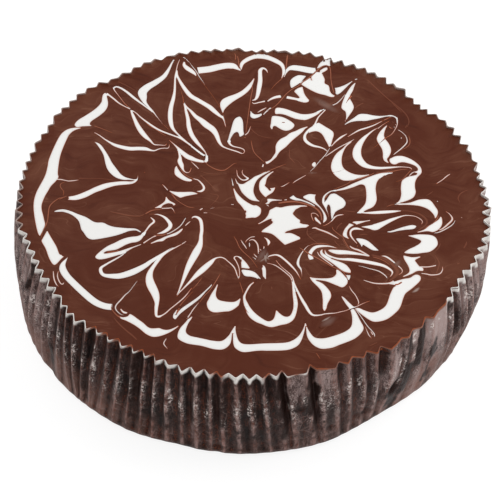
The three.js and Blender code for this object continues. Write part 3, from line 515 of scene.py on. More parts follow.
    (51.5, -77.5, 0.4, 49.5, -78.8, 0.6, 48, -79.7, 0.3),
    (-63.5, 76.3, 0.4, -59.5, 74.3, 0.7, -56, 72, 0.8, -53.5, 70, 0.4),
    (-22.6, 16.7, 0.5, -19.5, 13, 0.5, -16.8, 9.4, 0.45, -14.2, 6.8, 0.3),
    (-18.1, 5.7, 0.4, -14.7, 4.6, 0.5, -15.5, 1.8, 0.5, -17.9, -1.8, 0.3),
    (-22.7, 19.1, 0.4, -19.7, 17.9, 0.5, -15.8, 17.7, 0.5, -13.4, 18.2, 0.3),
# MIST and HAZE lines are painted sheen on the icing.
), Tone.MIST: (
    (24.9, 68.7, 2, 28, 66.5, 4, 32, 62.7, 5, 37.7, 58, 2),
    (58.6, -35.9, 1, 60.3, -33.5, 3, 62, -30.6, 1),
    (2.3, -34.5, 1, 3.9, -31.5, 3.6, 5.1, -28.6, 3.6, 6.3, -25.6, 1),
    (28.3, -70.1, 1.6, 31.5, -67.2, 5, 35.6, -63.5, 1.6),
), Tone.HAZE: (
    (3.5, -34.4, 1.2, 4.9, -31.8, 3, 5.7, -29.7, 4, 6.3, -27.4, 1.2),
    (3, -28.4, 0.8, 5.1, -30.6, 2, 8, -32.8, 0.8),
    (5.3, -26.8, 0.6, 5.7, -30.9, 1.6, 6.4, -34.9, 0.6),
    (29.9, -69.2, 1.2, 32, -67.1, 3.2, 34.6, -64.6, 1.2),
    (28.9, -67, 0.8, 31.1, -65.5, 1.6, 33.2, -63.6, 0.6),
    (31.1, -69.7, 0.8, 33, -67.8, 1.6, 34.6, -66.2, 0.6),
    (66, -49.5, 0.6, 68, -48, 1.8, 69.5, -46, 0.8),
), Tone.SLIT: (
    (12, 51.7, 0.8, 12.6, 51.7, 1, 13.3, 51.6, 0.8),
    (42.6, 70, 0.9, 41.5, 68, 0.8, 40.2, 65, 0.4),
    (34, 20.6, 0.3, 37, 21.4, 0.6, 39, 22.6, 0.3),
    (57.6, 43.4, 0.5, 56, 41.3, 0.8, 54.6, 39.4, 0.4),
    (59.4, -45, 0.6, 60.5, -44.9, 0.8, 62.2, -43.6, 0.9),
    (61.2, -45.7, 0.9, 62.3, -45.7, 0.9),
    (-59.8, -31, 0.6, -58, -30.7, 0.5, -55, -29.8, 0.3),
    (-29.6, -64.6, 0.4, -29.2, -63, 0.7, -28.6, -61.6, 0.3),
)}


# ------------------------------ plane curves
def smooth_run(points: np.ndarray, spacing: float) -> np.ndarray:
    """Carries a smooth curve through rows of values whose first two are x and y.

    It is a Catmull-Rom curve whose parameter grows by the square root of the distance from row to row. Two
    rows alone are joined by a straight line.

    Args:
        points: the rows to pass through, from one end to the other.
        spacing: the distance between the curve's own points, in millimetres.

    Returns:
        The rows along the curve, with both ends.
    """
    if len(points) == 2:
        steps = max(2, int(np.hypot(*(points[1, :2] - points[0, :2])) / spacing) + 1)
        share = np.linspace(0, 1, steps)[:, None]
        return points[0] * (1 - share) + points[1] * share
    ends = np.vstack([2 * points[0] - points[1], points, 2 * points[-1] - points[-2]])
    spans = []
    for p0, p1, p2, p3 in zip(ends, ends[1:], ends[2:], ends[3:]):
        t1, t2, t3 = np.cumsum([max(np.hypot(*(b - a)[:2]), LEAST_SPAN) ** 0.5
                                for a, b in ((p0, p1), (p1, p2), (p2, p3))])
        steps = max(2, int(np.hypot(*(p2 - p1)[:2]) / spacing) + 1)
        t = np.linspace(t1, t2, steps, endpoint=False)[:, None]
        a1 = (t1 - t) / t1 * p0 + t / t1 * p1
        a2 = (t2 - t) / (t2 - t1) * p1 + (t - t1) / (t2 - t1) * p2
        a3 = (t3 - t) / (t3 - t2) * p2 + (t - t2) / (t3 - t2) * p3
        b1 = (t2 - t) / t2 * a1 + t / t2 * a2
        b2 = (t3 - t) / (t3 - t1) * a2 + (t - t1) / (t3 - t1) * a3
        spans.append((t2 - t) / (t2 - t1) * b1 + (t - t1) / (t2 - t1) * b2)
    return np.vstack([*spans, points[-1:]])


def smooth_outline(runs: Sequence[Point], spacing: float) -> np.ndarray:
    """Closes an outline of smooth runs, which turns sharply only where one run ends and the next starts.

    Args:
        runs: x and y in turn, for each run. A lone run that ends where it starts is smooth all round.
        spacing: the distance between the outline's own points, in millimetres.

    Returns:
        The outline's x and y, the last point not repeating the first.
    """
    paths = [np.reshape(run, (-1, 2)) for run in runs]
    if len(paths) == 1 and (paths[0][0] == paths[0][-1]).all():
        plan = paths[0][:-1]
        run = smooth_run(np.vstack([plan, plan, plan]), spacing)
        _, start, end = np.where(np.abs(run - plan[0]).sum(1) < TINY)[0]
        return run[start:end]
    return np.vstack([smooth_run(np.vstack([path, after[:1]]), spacing)[:-1]
                      for path, after in zip(paths, paths[1:] + paths[:1])])


def within(places: np.ndarray, outline: np.ndarray) -> np.ndarray:
    """Says which places lie inside an outline: a line to the right crosses an odd number of its edges.

    Args:
        places: x and y, n by 2.
        outline: x and y, the last point not repeating the first.

    Returns:
        Whether each place lies inside.
    """
    x, y = places[:, :1], places[:, 1:]
    x0, y0 = outline.T
    x1, y1 = np.roll(outline, -1, axis=0).T
    crosses = (y0 > y) != (y1 > y)
    rise = np.where(y1 == y0, TINY, y1 - y0)
    return (crosses & (x < x0 + (y - y0) / rise * (x1 - x0))).sum(1) % 2 == 1


def nearest(places: np.ndarray, marks: np.ndarray, batch: int = 4000) -> np.ndarray:
    """Measures how far each place is from the nearest of the marks.

    Args:
        places: x and y, n by 2.
        marks: x and y, m by 2.
        batch: about how many places are measured at a time.

    Returns:
        The distances in millimetres.
    """
    squares = (marks ** 2).sum(1)
    parts = [((p ** 2).sum(1)[:, None] - 2 * p @ marks.T + squares).min(1)
             for p in np.array_split(places, max(1, len(places) // batch))]
    return np.sqrt(np.maximum(np.concatenate(parts), 0))


def band(value: np.ndarray, low: float, high: float, soft: float) -> np.ndarray:
    """Gives 1 from low to high and 0 outside, over soft edges of a given width."""
    return np.clip(np.minimum(value - low, high - value) / soft + 0.5, 0, 1)


def unit_tangent(steps: np.ndarray) -> np.ndarray:
    """Turns steps along a curve, n by 2, into steps of length 1."""
    return steps / np.maximum(np.hypot(*steps.T), TINY)[:, None]


def wave(seed: int, count: int, strength: float) -> Callable[[np.ndarray], np.ndarray]:
    """Makes a smooth random curve round the cake.

    Args:
        seed: starts the draw.
        count: how many waves go round at most.
        strength: the curve's usual height.

    Returns:
        A function from angle in radians to height, which meets itself after a full turn.
    """
    draw = np.random.default_rng(seed)
    orders = np.arange(1, count + 1)
    lift = draw.normal(0, 1, (2, count)) * strength / np.sqrt(count)
    return lambda angle: (lift[0] * np.cos(np.multiply.outer(angle, orders))
                          + lift[1] * np.sin(np.multiply.outer(angle, orders))).sum(-1)


# ------------------------------ meshes
def linked(name: str, data: bpy.types.ID) -> bpy.types.Object:
    """Makes an object and puts it in the scene.

    Args:
        name: the object's name.
        data: its mesh, light or camera.

    Returns:
        The object.
    """
    thing = bpy.data.objects.new(name, data)
    bpy.context.scene.collection.objects.link(thing)
    return thing


@dataclass
class Sheet:
    """Vertices, faces and named values that become one Blender piece."""

    places: list[np.ndarray] = field(default_factory=list)
    faces: list[np.ndarray] = field(default_factory=list)
    values: dict[str, list[np.ndarray]] = field(default_factory=dict)
    count: int = 0

    def add(self, places: np.ndarray, faces: Sequence[np.ndarray], **values: Any) -> None:
        """Takes in one surface.

        Args:
            places: n by 3, in millimetres.
            faces: arrays of vertex indices into places, one array for each number of corners.
            values: a number for each vertex, or one for all, by name.
        """
        self.places.append(places)
        self.faces += [f + self.count for f in faces]
        for name, value in values.items():
            self.values.setdefault(name, []).append(np.broadcast_to(value, len(places)))
        self.count += len(places)

    def piece(self, name: str, material: bpy.types.Material, node: str, slot: str) -> bpy.types.Object:
        """Makes the Blender object, dresses it, and has it stand for a node of the frame.

        Args:
            name: the piece's name.
            material: its finish.
            node: the node that it stands for.
            slot: not used.

        Returns:
            The object.
        """
        mesh = bpy.data.meshes.new(name)
        mesh.from_pydata(np.vstack(self.places) * MM, [], [row for f in self.faces for row in f.tolist()])
        for key, parts in self.values.items():
            layer = mesh.attributes.new(key, "FLOAT", "POINT")
            layer.data.foreach_set("value", np.concatenate(parts).astype(np.float32))
        mesh.shade_smooth()
        mesh.materials.append(material)
        mesh.update()
        thing = linked(name, mesh)
        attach(thing, "root")
        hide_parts(node)
        return thing


def quads(rows: int, columns: int, ring: bool = False) -> np.ndarray:
    """Faces of a grid whose vertices go row by row, wound so that rows run up where columns run right.

    Args:
        rows: how many rows of vertices.
        columns: how many vertices in a row.
        ring: whether each row closes on itself.

    Returns:
        The faces' vertex indices, n by 4.
    """
    i, j = np.meshgrid(np.arange(rows - 1), np.arange(columns if ring else columns - 1), indexing="ij")
    after = (j + 1) % columns
    return np.stack([i * columns + j, i * columns + after,
                     (i + 1) * columns + after, (i + 1) * columns + j], -1).reshape(-1, 4)


def fan(columns: int, middle: int) -> np.ndarray:
    """Triangles from each vertex of a ring and the next to one in the middle, n by 3."""
    column = np.arange(columns)
    return np.stack([column, (column + 1) % columns, np.full(columns, middle)], -1)


# ------------------------------ finishes
class Signal:
    """A socket's value, with the usual arithmetic on it."""

    def __init__(self, dress: "Dress", socket: bpy.types.NodeSocket) -> None:
        """Wraps an output socket of a material under construction."""
        self.dress = dress
        self.socket = socket

    def math(self, operation: str, *others: Any) -> "Signal":
        """Puts one Math node after this value and up to two others, each a Signal or a number."""
        keys = ("Value", "Value_001", "Value_002")
        return self.dress.node("Math", {"operation": operation}, **dict(zip(keys, (self, *others))))

    def __add__(self, other: Any) -> "Signal":
        """Adds."""
        return self.math("ADD", other)

    __radd__ = __add__

    def __mul__(self, other: Any) -> "Signal":
        """Multiplies."""
        return self.math("MULTIPLY", other)

    __rmul__ = __mul__

    def __sub__(self, other: Any) -> "Signal":
        """Subtracts."""
        return self.math("SUBTRACT", other)

    def __rsub__(self, other: Any) -> "Signal":
        """Subtracts this from a number."""
        return self * -1.0 + other

    def rise(self, low: float, high: float) -> "Signal":
        """Goes smoothly from 0 at low to 1 at high, which may be the smaller of the two."""
        return self.dress.node("MapRange", {"interpolation_type": "SMOOTHSTEP"}, "Result",
                               Value=self, From_Min=low, From_Max=high)


def linear(red: float, green: float, blue: float) -> Colour:
    """Turns a display colour, each part from 0 to 255, into scene light."""
    parts = [c / 255 for c in (red, green, blue)]
    return tuple(c / 12.92 if c <= 0.04045 else ((c + 0.055) / 1.055) ** 2.4 for c in parts)


class Dress:
    """A material under construction."""

    def __init__(self, name: str) -> None:
        """Starts an empty material.

        Args:
            name: the material's name.
        """
        self.material = bpy.data.materials.new(name)
        self.material.use_nodes = True
        self.tree = self.material.node_tree
        self.shader = self.tree.nodes["Principled BSDF"]

    def node(self, kind: str, settings: Optional[dict[str, Any]] = None, output: Any = 0,
             **inputs: Any) -> Signal:
        """Adds one node.

        Args:
            kind: the node's type, without its ShaderNode prefix.
            settings: properties set before the inputs, since some of them change the sockets.
            output: which output to give back.
            inputs: values or Signals, by socket.

        Returns:
            The chosen output.
        """
        node = self.tree.nodes.new("ShaderNode" + kind)
        for key, value in (settings or {}).items():
            setattr(node, key, value)
        for key, value in inputs.items():
            self.feed(node, key, value)
        return Signal(self, node.outputs[output])

    def feed(self, node: bpy.types.Node, key: str, value: Any) -> None:
        """Links or sets one input of a node.

        Args:
            node: the node.
            key: the socket's identifier, or its name with underscores for spaces.
            value: a Signal, a number, a vector or a colour.
        """
        socket = next(s for s in node.inputs
                      if s.enabled and (s.identifier == key or s.name == key.replace("_", " ")))
        if isinstance(value, Signal):
            self.tree.links.new(value.socket, socket)
        else:
            socket.default_value = (*value, 1.0) if socket.type == "RGBA" else value

    def place(self) -> Signal:
        """The place on the piece, in millimetres."""
        return self.stretch(self.node("TexCoord", output="Object"), 1 / MM, 1 / MM, 1 / MM)

    def stretch(self, vector: Signal, x: float, y: float, z: float) -> Signal:
        """Multiplies a vector's parts."""
        return self.node("VectorMath", {"operation": "MULTIPLY"}, Vector=vector, Vector_001=(x, y, z))

    def warped(self, here: Signal, scale: float, reach: float) -> Signal:
        """Places moved by a slow swirl of noise, up to about half the reach in millimetres."""
        swirl = self.node("TexNoise", {"noise_dimensions": "3D"}, "Color", Vector=here, Scale=scale)
        return self.node("VectorMath", {"operation": "MULTIPLY_ADD"}, Vector=swirl,
                         Vector_001=(reach, reach, 0.0), Vector_002=here)

    def part(self, vector: Signal, axis: str) -> Signal:
        """One part of a vector, X, Y or Z."""
        return self.node("SeparateXYZ", output=axis, Vector=vector)

    def join(self, x: Any, y: Any, z: Any) -> Signal:
        """A vector made of three values."""
        return self.node("CombineXYZ", X=x, Y=y, Z=z)

    def value(self, name: str) -> Signal:
        """A named value of the mesh."""
        return self.node("Attribute", {"attribute_name": name}, output="Fac")

    def noise(self, where: Signal, scale: float, detail: float = 2.0, roughness: float = 0.5,
              distortion: float = 0.0) -> Signal:
        """Noise around 0.5 whose features are about 1/scale of the vector's unit."""
        return self.node("TexNoise", {"noise_dimensions": "3D"}, Vector=where, Scale=scale, Detail=detail,
                         Roughness=roughness, Distortion=distortion)

    def mix(self, share: Any, first: Any, second: Any) -> Signal:
        """A colour between two, the second where the share is 1."""
        return self.node("Mix", {"data_type": "RGBA"}, 2, Factor=share, A=first, B=second)

    def bump(self, height: Signal, distance: float, strength: float = 1.0) -> Signal:
        """A normal that follows a height of 0 to 1, at most distance millimetres high."""
        return self.node("Bump", output="Normal", Strength=strength, Distance=distance * MM, Height=height)

    def finish(self, colour: Any, roughness: Any, normal: Optional[Signal] = None,
               **constants: Any) -> bpy.types.Material:
        """Feeds the shader and gives the material.

        Args:
            colour: the base colour.
            roughness: the roughness.
            normal: the normal, if it isn't the mesh's own.
            constants: other inputs of the shader, by name with underscores, the same all over the surface.

        Returns:
            The material.
        """
        varied = {"Base_Color": colour, "Roughness": roughness, "Normal": normal}
        for key, value in (varied | constants).items():
            if value is not None:
                self.feed(self.shader, key, value)
        return self.material


@dataclass(frozen=True)
class ChocolateFinish:
    """Set dark chocolate icing: deep brown clouded with a milkier brown, and milkier at the back as painted
    reflection.
    """

    deep: Colour = linear(71, 26, 12)
    milky: Colour = linear(92, 51, 36)
    dark: Colour = linear(60, 19, 8)
    light: Colour = linear(120, 79, 62)
    sheen: Colour = (1.0, 0.55, 0.36)
    gloss: float = 0.25
    roughness: float = 0.42
    unevenness: float = 0.16

    def brown(self, dress: Dress) -> Signal:
        """The icing's own colour at a place.

        Slow clouds and a finer grain, both drawn out by the flow, go from deep to milky, and lap round the
        white marbling in lines that follow it. Towards the back it grows milkier: painted reflection of the
        bright surroundings. Where both are low it is darker, and light hairs run through the clouds, partly
        lighter swirls of the icing and partly painted streaks of sheen.

        Args:
            dress: the material that gets the nodes.

        Returns:
            The colour, the same at the same place in every material that uses it.
        """
        here = dress.place()
        drift = dress.value("drift")
        y = dress.part(here, "Y")
        flow = dress.warped(here, 0.03, 46.0)
        cloud = dress.noise(dress.stretch(flow, 0.03, 0.045, 0.0), 1.0, 4.0, 0.6)
        grain = dress.noise(dress.stretch(flow, 0.05, 0.34, 0.0), 1.0, 3.0, 0.6)
        near = drift.rise(6.5, 1.0)
        lapped = dress.noise(dress.join(drift * 0.55, 0.0, cloud * 3.0), 1.0, 2.0, 0.5)
        # The y term makes the icing milkier towards the back: painted reflection of the bright
        # surroundings.
        share = cloud * 0.62 + grain * 0.24 + (lapped - 0.5) * near * 0.3 + y * 0.0003 + 0.03
        brown = dress.mix(share.rise(0.36, 0.66), self.deep, self.milky)
        brown = dress.mix(grain.rise(0.46, 0.3) * cloud.rise(0.6, 0.4) * 0.8, brown, self.dark)
        # Light hairs: lighter swirls of the icing, and painted streaks of sheen as well.
        hair = dress.noise(dress.stretch(flow, 0.035, 0.2, 0.0), 1.0, 1.0, 0.4)
        thread = (hair - 0.5).math("ABSOLUTE").rise(0.011, 0.002) * cloud.rise(0.46, 0.58)
        return dress.mix(thread * 0.32, brown, self.light)

    def make(self) -> bpy.types.Material:
        """Dresses the icing: its brown, a roughness that varies slowly, and shallow waves with a fine skin.

        Returns:
            The icing's material.
        """
        dress = Dress("dark_icing")
        here = dress.place()
        skin = dress.noise(here, 0.35, 3.0, 0.55)
        waves = dress.noise(here, 0.11)
        roughness = dress.noise(here, 0.05, 3.0) * self.unevenness + (self.roughness - self.unevenness / 2)
        return dress.finish(self.brown(dress), roughness, dress.bump(skin * 0.35 + waves, 0.22, 0.55),
                            Specular_IOR_Level=self.gloss, Specular_Tint=self.sheen)


@dataclass(frozen=True)
class WhiteChocolateFinish:
    """White chocolate drawn through the icing: caramel at its edge, white, and grey-lilac where it sank and
    as painted sheen.
    """

    white: Colour = linear(224, 224, 222)
    shoulder: Colour = linear(206, 204, 202)
    caramel: Colour = linear(166, 80, 37)
    # Grey-lilac: partly white chocolate sinking into the icing, partly painted sheen of reflected light.
    bloom: Colour = linear(176, 162, 154)
    icing: ChocolateFinish = ChocolateFinish()
    roughness: float = 0.4

    def make(self) -> bpy.types.Material:
        """Dresses the marbling by how much white chocolate is at each vertex and how much grey-lilac it
        takes, from sinking into the icing and as painted sheen.

        Returns:
            The marbling's material, the icing's own brown where there is no white chocolate.
        """
        dress = Dress("white_marbling")
        share = dress.value("cream")
        blush = dress.mix(share.rise(0.0, 0.14), self.icing.brown(dress), self.caramel)
        colour = dress.mix(share.rise(0.16, 0.48), blush, self.shoulder)
        colour = dress.mix(share.rise(0.45, 1.0), colour, self.white)
        # Grey-lilac where chocolate sank and where painted sheen lies on the icing.
        sunk_and_sheen = dress.mix(share.rise(0.0, 1.0), self.icing.brown(dress), self.bloom)
        colour = dress.mix(dress.value("bloom"), colour, sunk_and_sheen)
        return dress.finish(colour, self.roughness, dress.bump(dress.noise(dress.place(), 0.3), 0.12, 0.4),
                            Specular_IOR_Level=self.icing.gloss, Specular_Tint=self.icing.sheen)


@dataclass(frozen=True)
class PaperFinish:
    """Dark greaseproof paper, soaked through by the bake: near black in the folds as painted shade, mauve
    on the ridges as painted sheen.
    """

    # deep is painted shade: the creases, and the paper turned away from the light.
    deep: Colour = linear(18, 12, 11)
    panel: Colour = linear(60, 40, 37)
    # pale is the top of the shade ramp: on the lit side it is painted light.
    pale: Colour = linear(162, 141, 137)
    # ridge is also the colour of the painted sheen on the ridges.
    ridge: Colour = linear(142, 117, 112)
    # fleck is the colour of painted glints: highlights on the crinkled paper.
    fleck: Colour = linear(228, 216, 210)
    rust: Colour = linear(122, 60, 36)
    foot: Colour = linear(122, 89, 79)
    bare: Colour = linear(228, 223, 218)
    lining: Colour = linear(138, 101, 88)
    edge: Colour = linear(146, 74, 42)
    shadow: Colour = linear(33, 17, 13)
    sheen: Colour = (1.0, 0.7, 0.62)
    gloss: float = 0.09
    roughness: float = 0.46
    unevenness: float = 0.2

    def make(self) -> bpy.types.Material:
        """Dresses the paper, layer over layer, by each vertex's named values and by noise.

        The shade between folds comes first, partly painted light and shade by angle, then the mottled foot,
        the net of creases, the painted shade in the folds, the painted sheen of the ridges, rust, painted
        glints, the painted shade of dark patches, the brown lining, and the soaked or bare rim.

        Returns:
            The paper's material.
        """
        dress = Dress("fluted_paper")
        here = dress.place()
        fold, tint, glow = dress.value("fold"), dress.value("tint"), dress.value("glow")
        soak, gloom = dress.value("soaked"), dress.value("gloom")
        height = dress.part(here, "Z")
        grain = dress.noise(dress.stretch(here, 1.0, 1.0, 0.3), 0.8, 4.0, 0.65)
        crush = dress.noise(here, 1.5, 3.0, 0.75, 0.6)
        speck = dress.noise(here, 2.4, 2.0, 0.8)
        blotch = dress.noise(here, 0.09, 3.0, 0.6)
        patchy = dress.noise(here, 0.22, 3.0, 0.7)
        crisp = dress.noise(here, 0.85, 2.0, 0.6, 0.4)
        cells = dress.node("TexVoronoi", {"feature": "DISTANCE_TO_EDGE"}, "Distance",
                           Vector=dress.stretch(here, 1.0, 1.0, 0.7), Scale=0.2)
        # The shade ramp follows the tint, which is painted light and shade by angle: lowest at the front,
        # in shade, and highest on the right, under the key light.
        shade = (tint * (height.rise(24.0, 44.0) * 0.5 + 0.6)
                 + (grain - 0.5) * 1.5 + (speck - 0.5) * 2.1 + (blotch - 0.5) * 0.6)
        aside = dress.part(here, "X").math("ABSOLUTE").rise(30.0, 78.0) * 0.8 + 0.2
        mottle = (blotch - 0.5) * 1.4 + (speck - 0.5) * 1.2 + 0.85
        low = (height - aside * 7.0).rise(24.0, 2.0) * mottle * aside
        creased = cells.rise(0.045, 0.0) * height.rise(47.0, 38.0) * blotch.rise(0.4, 0.6)
        rusty = fold.math("ABSOLUTE").rise(0.1, 0.8) * speck.rise(0.5, 0.62) * blotch.rise(0.36, 0.56)
        level = height + (patchy - 0.5) * 40.0
        middle = level.rise(18.0, 28.0) * level.rise(46.0, 38.0)
        # spark and glint are painted glints: highlights on the crinkled ridges.
        spark = fold.rise(-0.2, 0.5) * crush.rise(0.54, 0.6) * middle * patchy.rise(0.42, 0.5)
        chip = dress.value("chip").rise(0.1, 0.75) * crisp.rise(0.49, 0.58)
        ragged = gloom * 1.1 + (grain - 0.5) * 1.3 + (patchy - 0.5) * 1.1
        face = dress.mix(shade.rise(-0.15, 0.4), self.deep, self.panel)
        for share, colour in (
                # Painted light where the tint is high.
                (shade.rise(0.3, 1.1), self.pale),
                (low * 0.9, self.foot),
                (creased * 0.45, self.ridge),
                # Painted shade in the creases, deeper in the dents.
                ((fold * -1.0).rise(0.05, 0.85) * (1.0 - tint * 0.8), self.deep),
                # Painted sheen on the ridges.
                (glow * grain.rise(0.3, 0.6) * patchy.rise(0.32, 0.56), self.ridge),
                (rusty * 0.8, self.rust),
                # Painted glints.
                ((spark * 0.6).math("MAXIMUM", chip * 0.85), self.fleck),
                # Painted shade of the dark panels.
                (ragged.rise(0.2, 0.75) * gloom.rise(0.05, 0.3), self.shadow),
                (soak.rise(0.0, 0.5), self.lining),
                (soak.rise(0.5, 1.0) * grain.rise(0.25, 0.5), self.edge),
                (dress.value("bare") * (grain * 0.3 + 0.85), self.bare)):
            face = dress.mix(share, face, colour)
        relief = crush * 0.4 + grain * 0.6 + cells.math("MINIMUM", 0.5) * 1.2
        roughness = crush * self.unevenness + (self.roughness - self.unevenness / 2)
        return dress.finish(face, roughness, dress.bump(relief, 0.8, 0.8),
                            Specular_IOR_Level=self.gloss, Specular_Tint=self.sheen)


@dataclass(frozen=True)
class CrumbFinish:
    """Dark baked crumb."""

    dark: Colour = linear(46, 26, 18)
    light: Colour = linear(84, 52, 38)
    roughness: float = 0.9

    def make(self) -> bpy.types.Material:
        """Dresses the crumb: open and uneven, darker in its hollows as painted shade.

        Returns:
            The crumb's material.
        """
        dress = Dress("baked_crumb")
        crumb = dress.noise(dress.place(), 0.8, 5.0, 0.7)
        colour = dress.mix(crumb.rise(0.35, 0.7), self.dark, self.light)
        return dress.finish(colour, self.roughness, dress.bump(crumb, 0.8))


# ------------------------------ the paper case
@dataclass
class PaperCase:
    """The fluted case: a zigzag of paper that shallows from the rim down to the rounded foot."""

    columns_between: int = 6
    rows: int = 40
    wall_radius: float = 98.0
    edge_radius: float = 4.5
    paper: float = 0.35
    # How much of a pleat's depth is left at the foot, and how soon it has grown full again above it.
    foot_fold: float = 0.12
    fold_growth: float = 0.45
    # How late the wall flares out to the rim: 1 is evenly, and more is nearer the rim.
    flare: float = 1.3
    # How unevenly the pleats run: in depth, and in degrees as a slow bend and as a quick one.
    uneven_depth: float = 0.16
    slow_bend: float = 0.16
    quick_bend: float = 0.07
    # Random waves round the cake: seed, how many go round at most, and height. The wall swells in and out
    # by one, and the rim goes up and down by the other, never by more than the most.
    swell: tuple[int, int, float] = (9, 14, 0.45)
    ragged: tuple[int, int, float] = (31, 70, 0.3)
    most_ragged: float = 0.5
    seed: int = 23
    # The round edge under the wall: each row's angle below the wall, how even its outline is, and how much
    # of the folds is still seen.
    under: tuple[Point, ...] = ((90.0, 1.0, 0.0), (62.0, 0.85, 0.1), (38.0, 0.5, 0.4), (18.0, 0.2, 0.7))
    # Its even outline is each radius averaged this often with those this many columns away.
    averaged: tuple[int, int] = (12, 3)
    # The heights of the inner face's rows, from the rim down into the icing.
    inner_heights: Point = (53.0, 52.6, 52.0, 51.3, 50.4)
    # How soaked the inner face and the lip are, where 0.5 is brown and 1 is orange: first between these
    # two angles, then elsewhere.
    soaked_sector: tuple[float, float] = (226, 330)
    soaked_inside: tuple[float, float] = (0.9, 0.5)
    soaked_lip: tuple[float, float] = (1.0, 0.5)
    # How much shallower a bare band is halfway out on a fold than on its tip.
    bare_slope: float = 0.28
    # A fold is fully a tip or a crease where its radius is this far from its neighbours' mean.
    full_fold: float = 1.5
    # How unlike each other the flanks between folds are.
    flank_contrast: float = 0.1
    # How wide soft edges are: of what lies along the rim in millimetres, of its sectors in degrees, and of
    # the panels in degrees and in millimetres. A painted glint's half width is in degrees.
    rim_fade: float = 0.4
    sector_fade: float = 1.2
    panel_fade: tuple[float, float] = (0.8, 5.0)
    glint_half: float = 0.55
    # How much darker a dent makes a fold, for each millimetre: painted shade in the pocket.
    dent_shade: float = 1.1
    # The folds round the top edge: angle in degrees and radius in millimetres. Far ones are the outer tips
    # of the pleats and near ones their inner creases.
    folds: tuple[Point, ...] = (
        (0.3, 101.7), (1.6, 98.4), (3, 101.1), (5, 97.6), (7.2, 101), (8.4, 98), (9.4, 100.5),
        (10.8, 97.8), (12.4, 100.1), (13.9, 97.9), (16.2, 101.1), (17.6, 99.2), (19.6, 100.3), (21, 99),
        (23, 101.7), (24.1, 98.1), (26.3, 101), (27.6, 97.9), (29.5, 100.9), (30.7, 98.3), (33, 100.2),
        (34.4, 98.2), (36.2, 99.4), (37.4, 95.9), (39, 98.1), (40, 95.4), (41.5, 97.9), (42.8, 95.7),
        (44.4, 98.5), (46.1, 96.4), (48, 99.9), (50, 97.7), (51.6, 99.2), (53.2, 97.4), (54.7, 101.3),
        (56.3, 98.2), (57.7, 100.1), (59.3, 98.1), (60.9, 101.2), (62.5, 98.2), (64, 100.5), (65.8, 97.2),
        (67.3, 100.6), (69, 97.1), (70.4, 100.4), (71.6, 97.9), (72.6, 100.6), (74.2, 98.2), (76, 100.8),
        (77.5, 98.2), (79, 100.4), (80.4, 97.3), (82.3, 98.9), (84.3, 97.8), (85.4, 99.4), (87.2, 96.8),
        (88.4, 98.9), (90, 96.7), (91.2, 98.6), (93, 97.3), (94.6, 99.4), (96.4, 98.2), (97.8, 99.8),
        (98.9, 98.2), (101, 99.8), (102, 98.3), (103.8, 100.5), (105.2, 99), (107, 101.3), (108.3, 99.4),
        (110.2, 101.4), (111.7, 99.9), (113.5, 101.4), (115.3, 99.6), (116.8, 101.2), (118.4, 99.5),
        (120, 101.2), (121.4, 99.2), (123.2, 100.5), (124.8, 98), (126.8, 99.8), (128.6, 98.2),
        (130.5, 99.7), (132, 98.4), (133.6, 101.5), (135, 100), (137, 102.4), (138.8, 100.2),
        (140.6, 102.5), (142, 100.1), (143.7, 102), (145.3, 99.4), (146.8, 101.8), (148.2, 100),
        (150, 102.1), (152.5, 98.9), (154, 100.6), (156, 98.3), (157.3, 100.7), (159.3, 98.9),
        (161, 100.8), (163.4, 98.3), (164.8, 100.4), (167.1, 98.2), (168, 100.4), (170.3, 98.2),
        (171, 100.4), (173.6, 98), (174.8, 100.4), (177, 97.9), (178.2, 100.3), (180, 97.6),
        (181.4, 100.1), (182.6, 97.2), (185, 100.6), (186.2, 97.2), (188.5, 100.6), (189.8, 97.5),
        (191.6, 100), (193.7, 96.4), (195, 98.8), (196.3, 95.9), (198.5, 98.4), (200.3, 95.5), (202, 98.3),
        (203.6, 95.4), (205.7, 98.7), (206.9, 95.7), (209, 98.7), (210.3, 95.6), (212.3, 98.5),
        (213.6, 95.3), (215.2, 98.9), (216.8, 96), (219.1, 98.9), (220.1, 97), (222.2, 100.4),
        (223.2, 97.8), (225.4, 100.8), (226.6, 96.8), (228.9, 100.2), (230, 96.3), (232, 99.3),
        (233.5, 96), (235.3, 99.3), (237, 95.9), (238.9, 99), (240.6, 95.3), (242.1, 98.8), (243.6, 95.2),
        (245.2, 98.9), (246.8, 95.6), (248, 99.3), (249.7, 96.5), (251.2, 99), (253.2, 97), (254.7, 100.4),
        (256.3, 97), (258, 100.3), (259.6, 96.8), (261.2, 99.9), (262.6, 97), (263.8, 99.6), (265.4, 97.2),
        (267.2, 100.2), (268.8, 97.3), (270.3, 100), (271.9, 97.1), (273.3, 100), (274.8, 96.8),
        (276.5, 98.9), (278, 95.4), (279, 99.3), (281.3, 98.3), (283.6, 98.9), (284.9, 94.5),
        (286.1, 97.7), (288.2, 98.2), (290.6, 98.9), (292, 96), (293.8, 98.6), (295.6, 95.6), (298, 98),
        (299.5, 95.6), (301.4, 98.9), (303.4, 95.9), (304.9, 99.8), (307, 98.8), (309, 97.4), (310.6, 99),
        (313.2, 96.6), (315.2, 98.3), (318, 95.7), (319.2, 98.5), (321.8, 97.4), (324.6, 97.8),
        (326.8, 96.5), (327.9, 98), (330.2, 94.8), (331.4, 97.6), (333.9, 94.9), (335, 97.4),
        (336.9, 95.1), (337.8, 98.4), (340.1, 96.9), (341.3, 99), (342.9, 97.1), (344.6, 100.4),
        (346, 97.2), (347.6, 101.2), (349, 98), (350.6, 101.6), (351.8, 98.4), (353.6, 101.4),
        (355.5, 97.9), (357.2, 101.3), (358.7, 97.3))
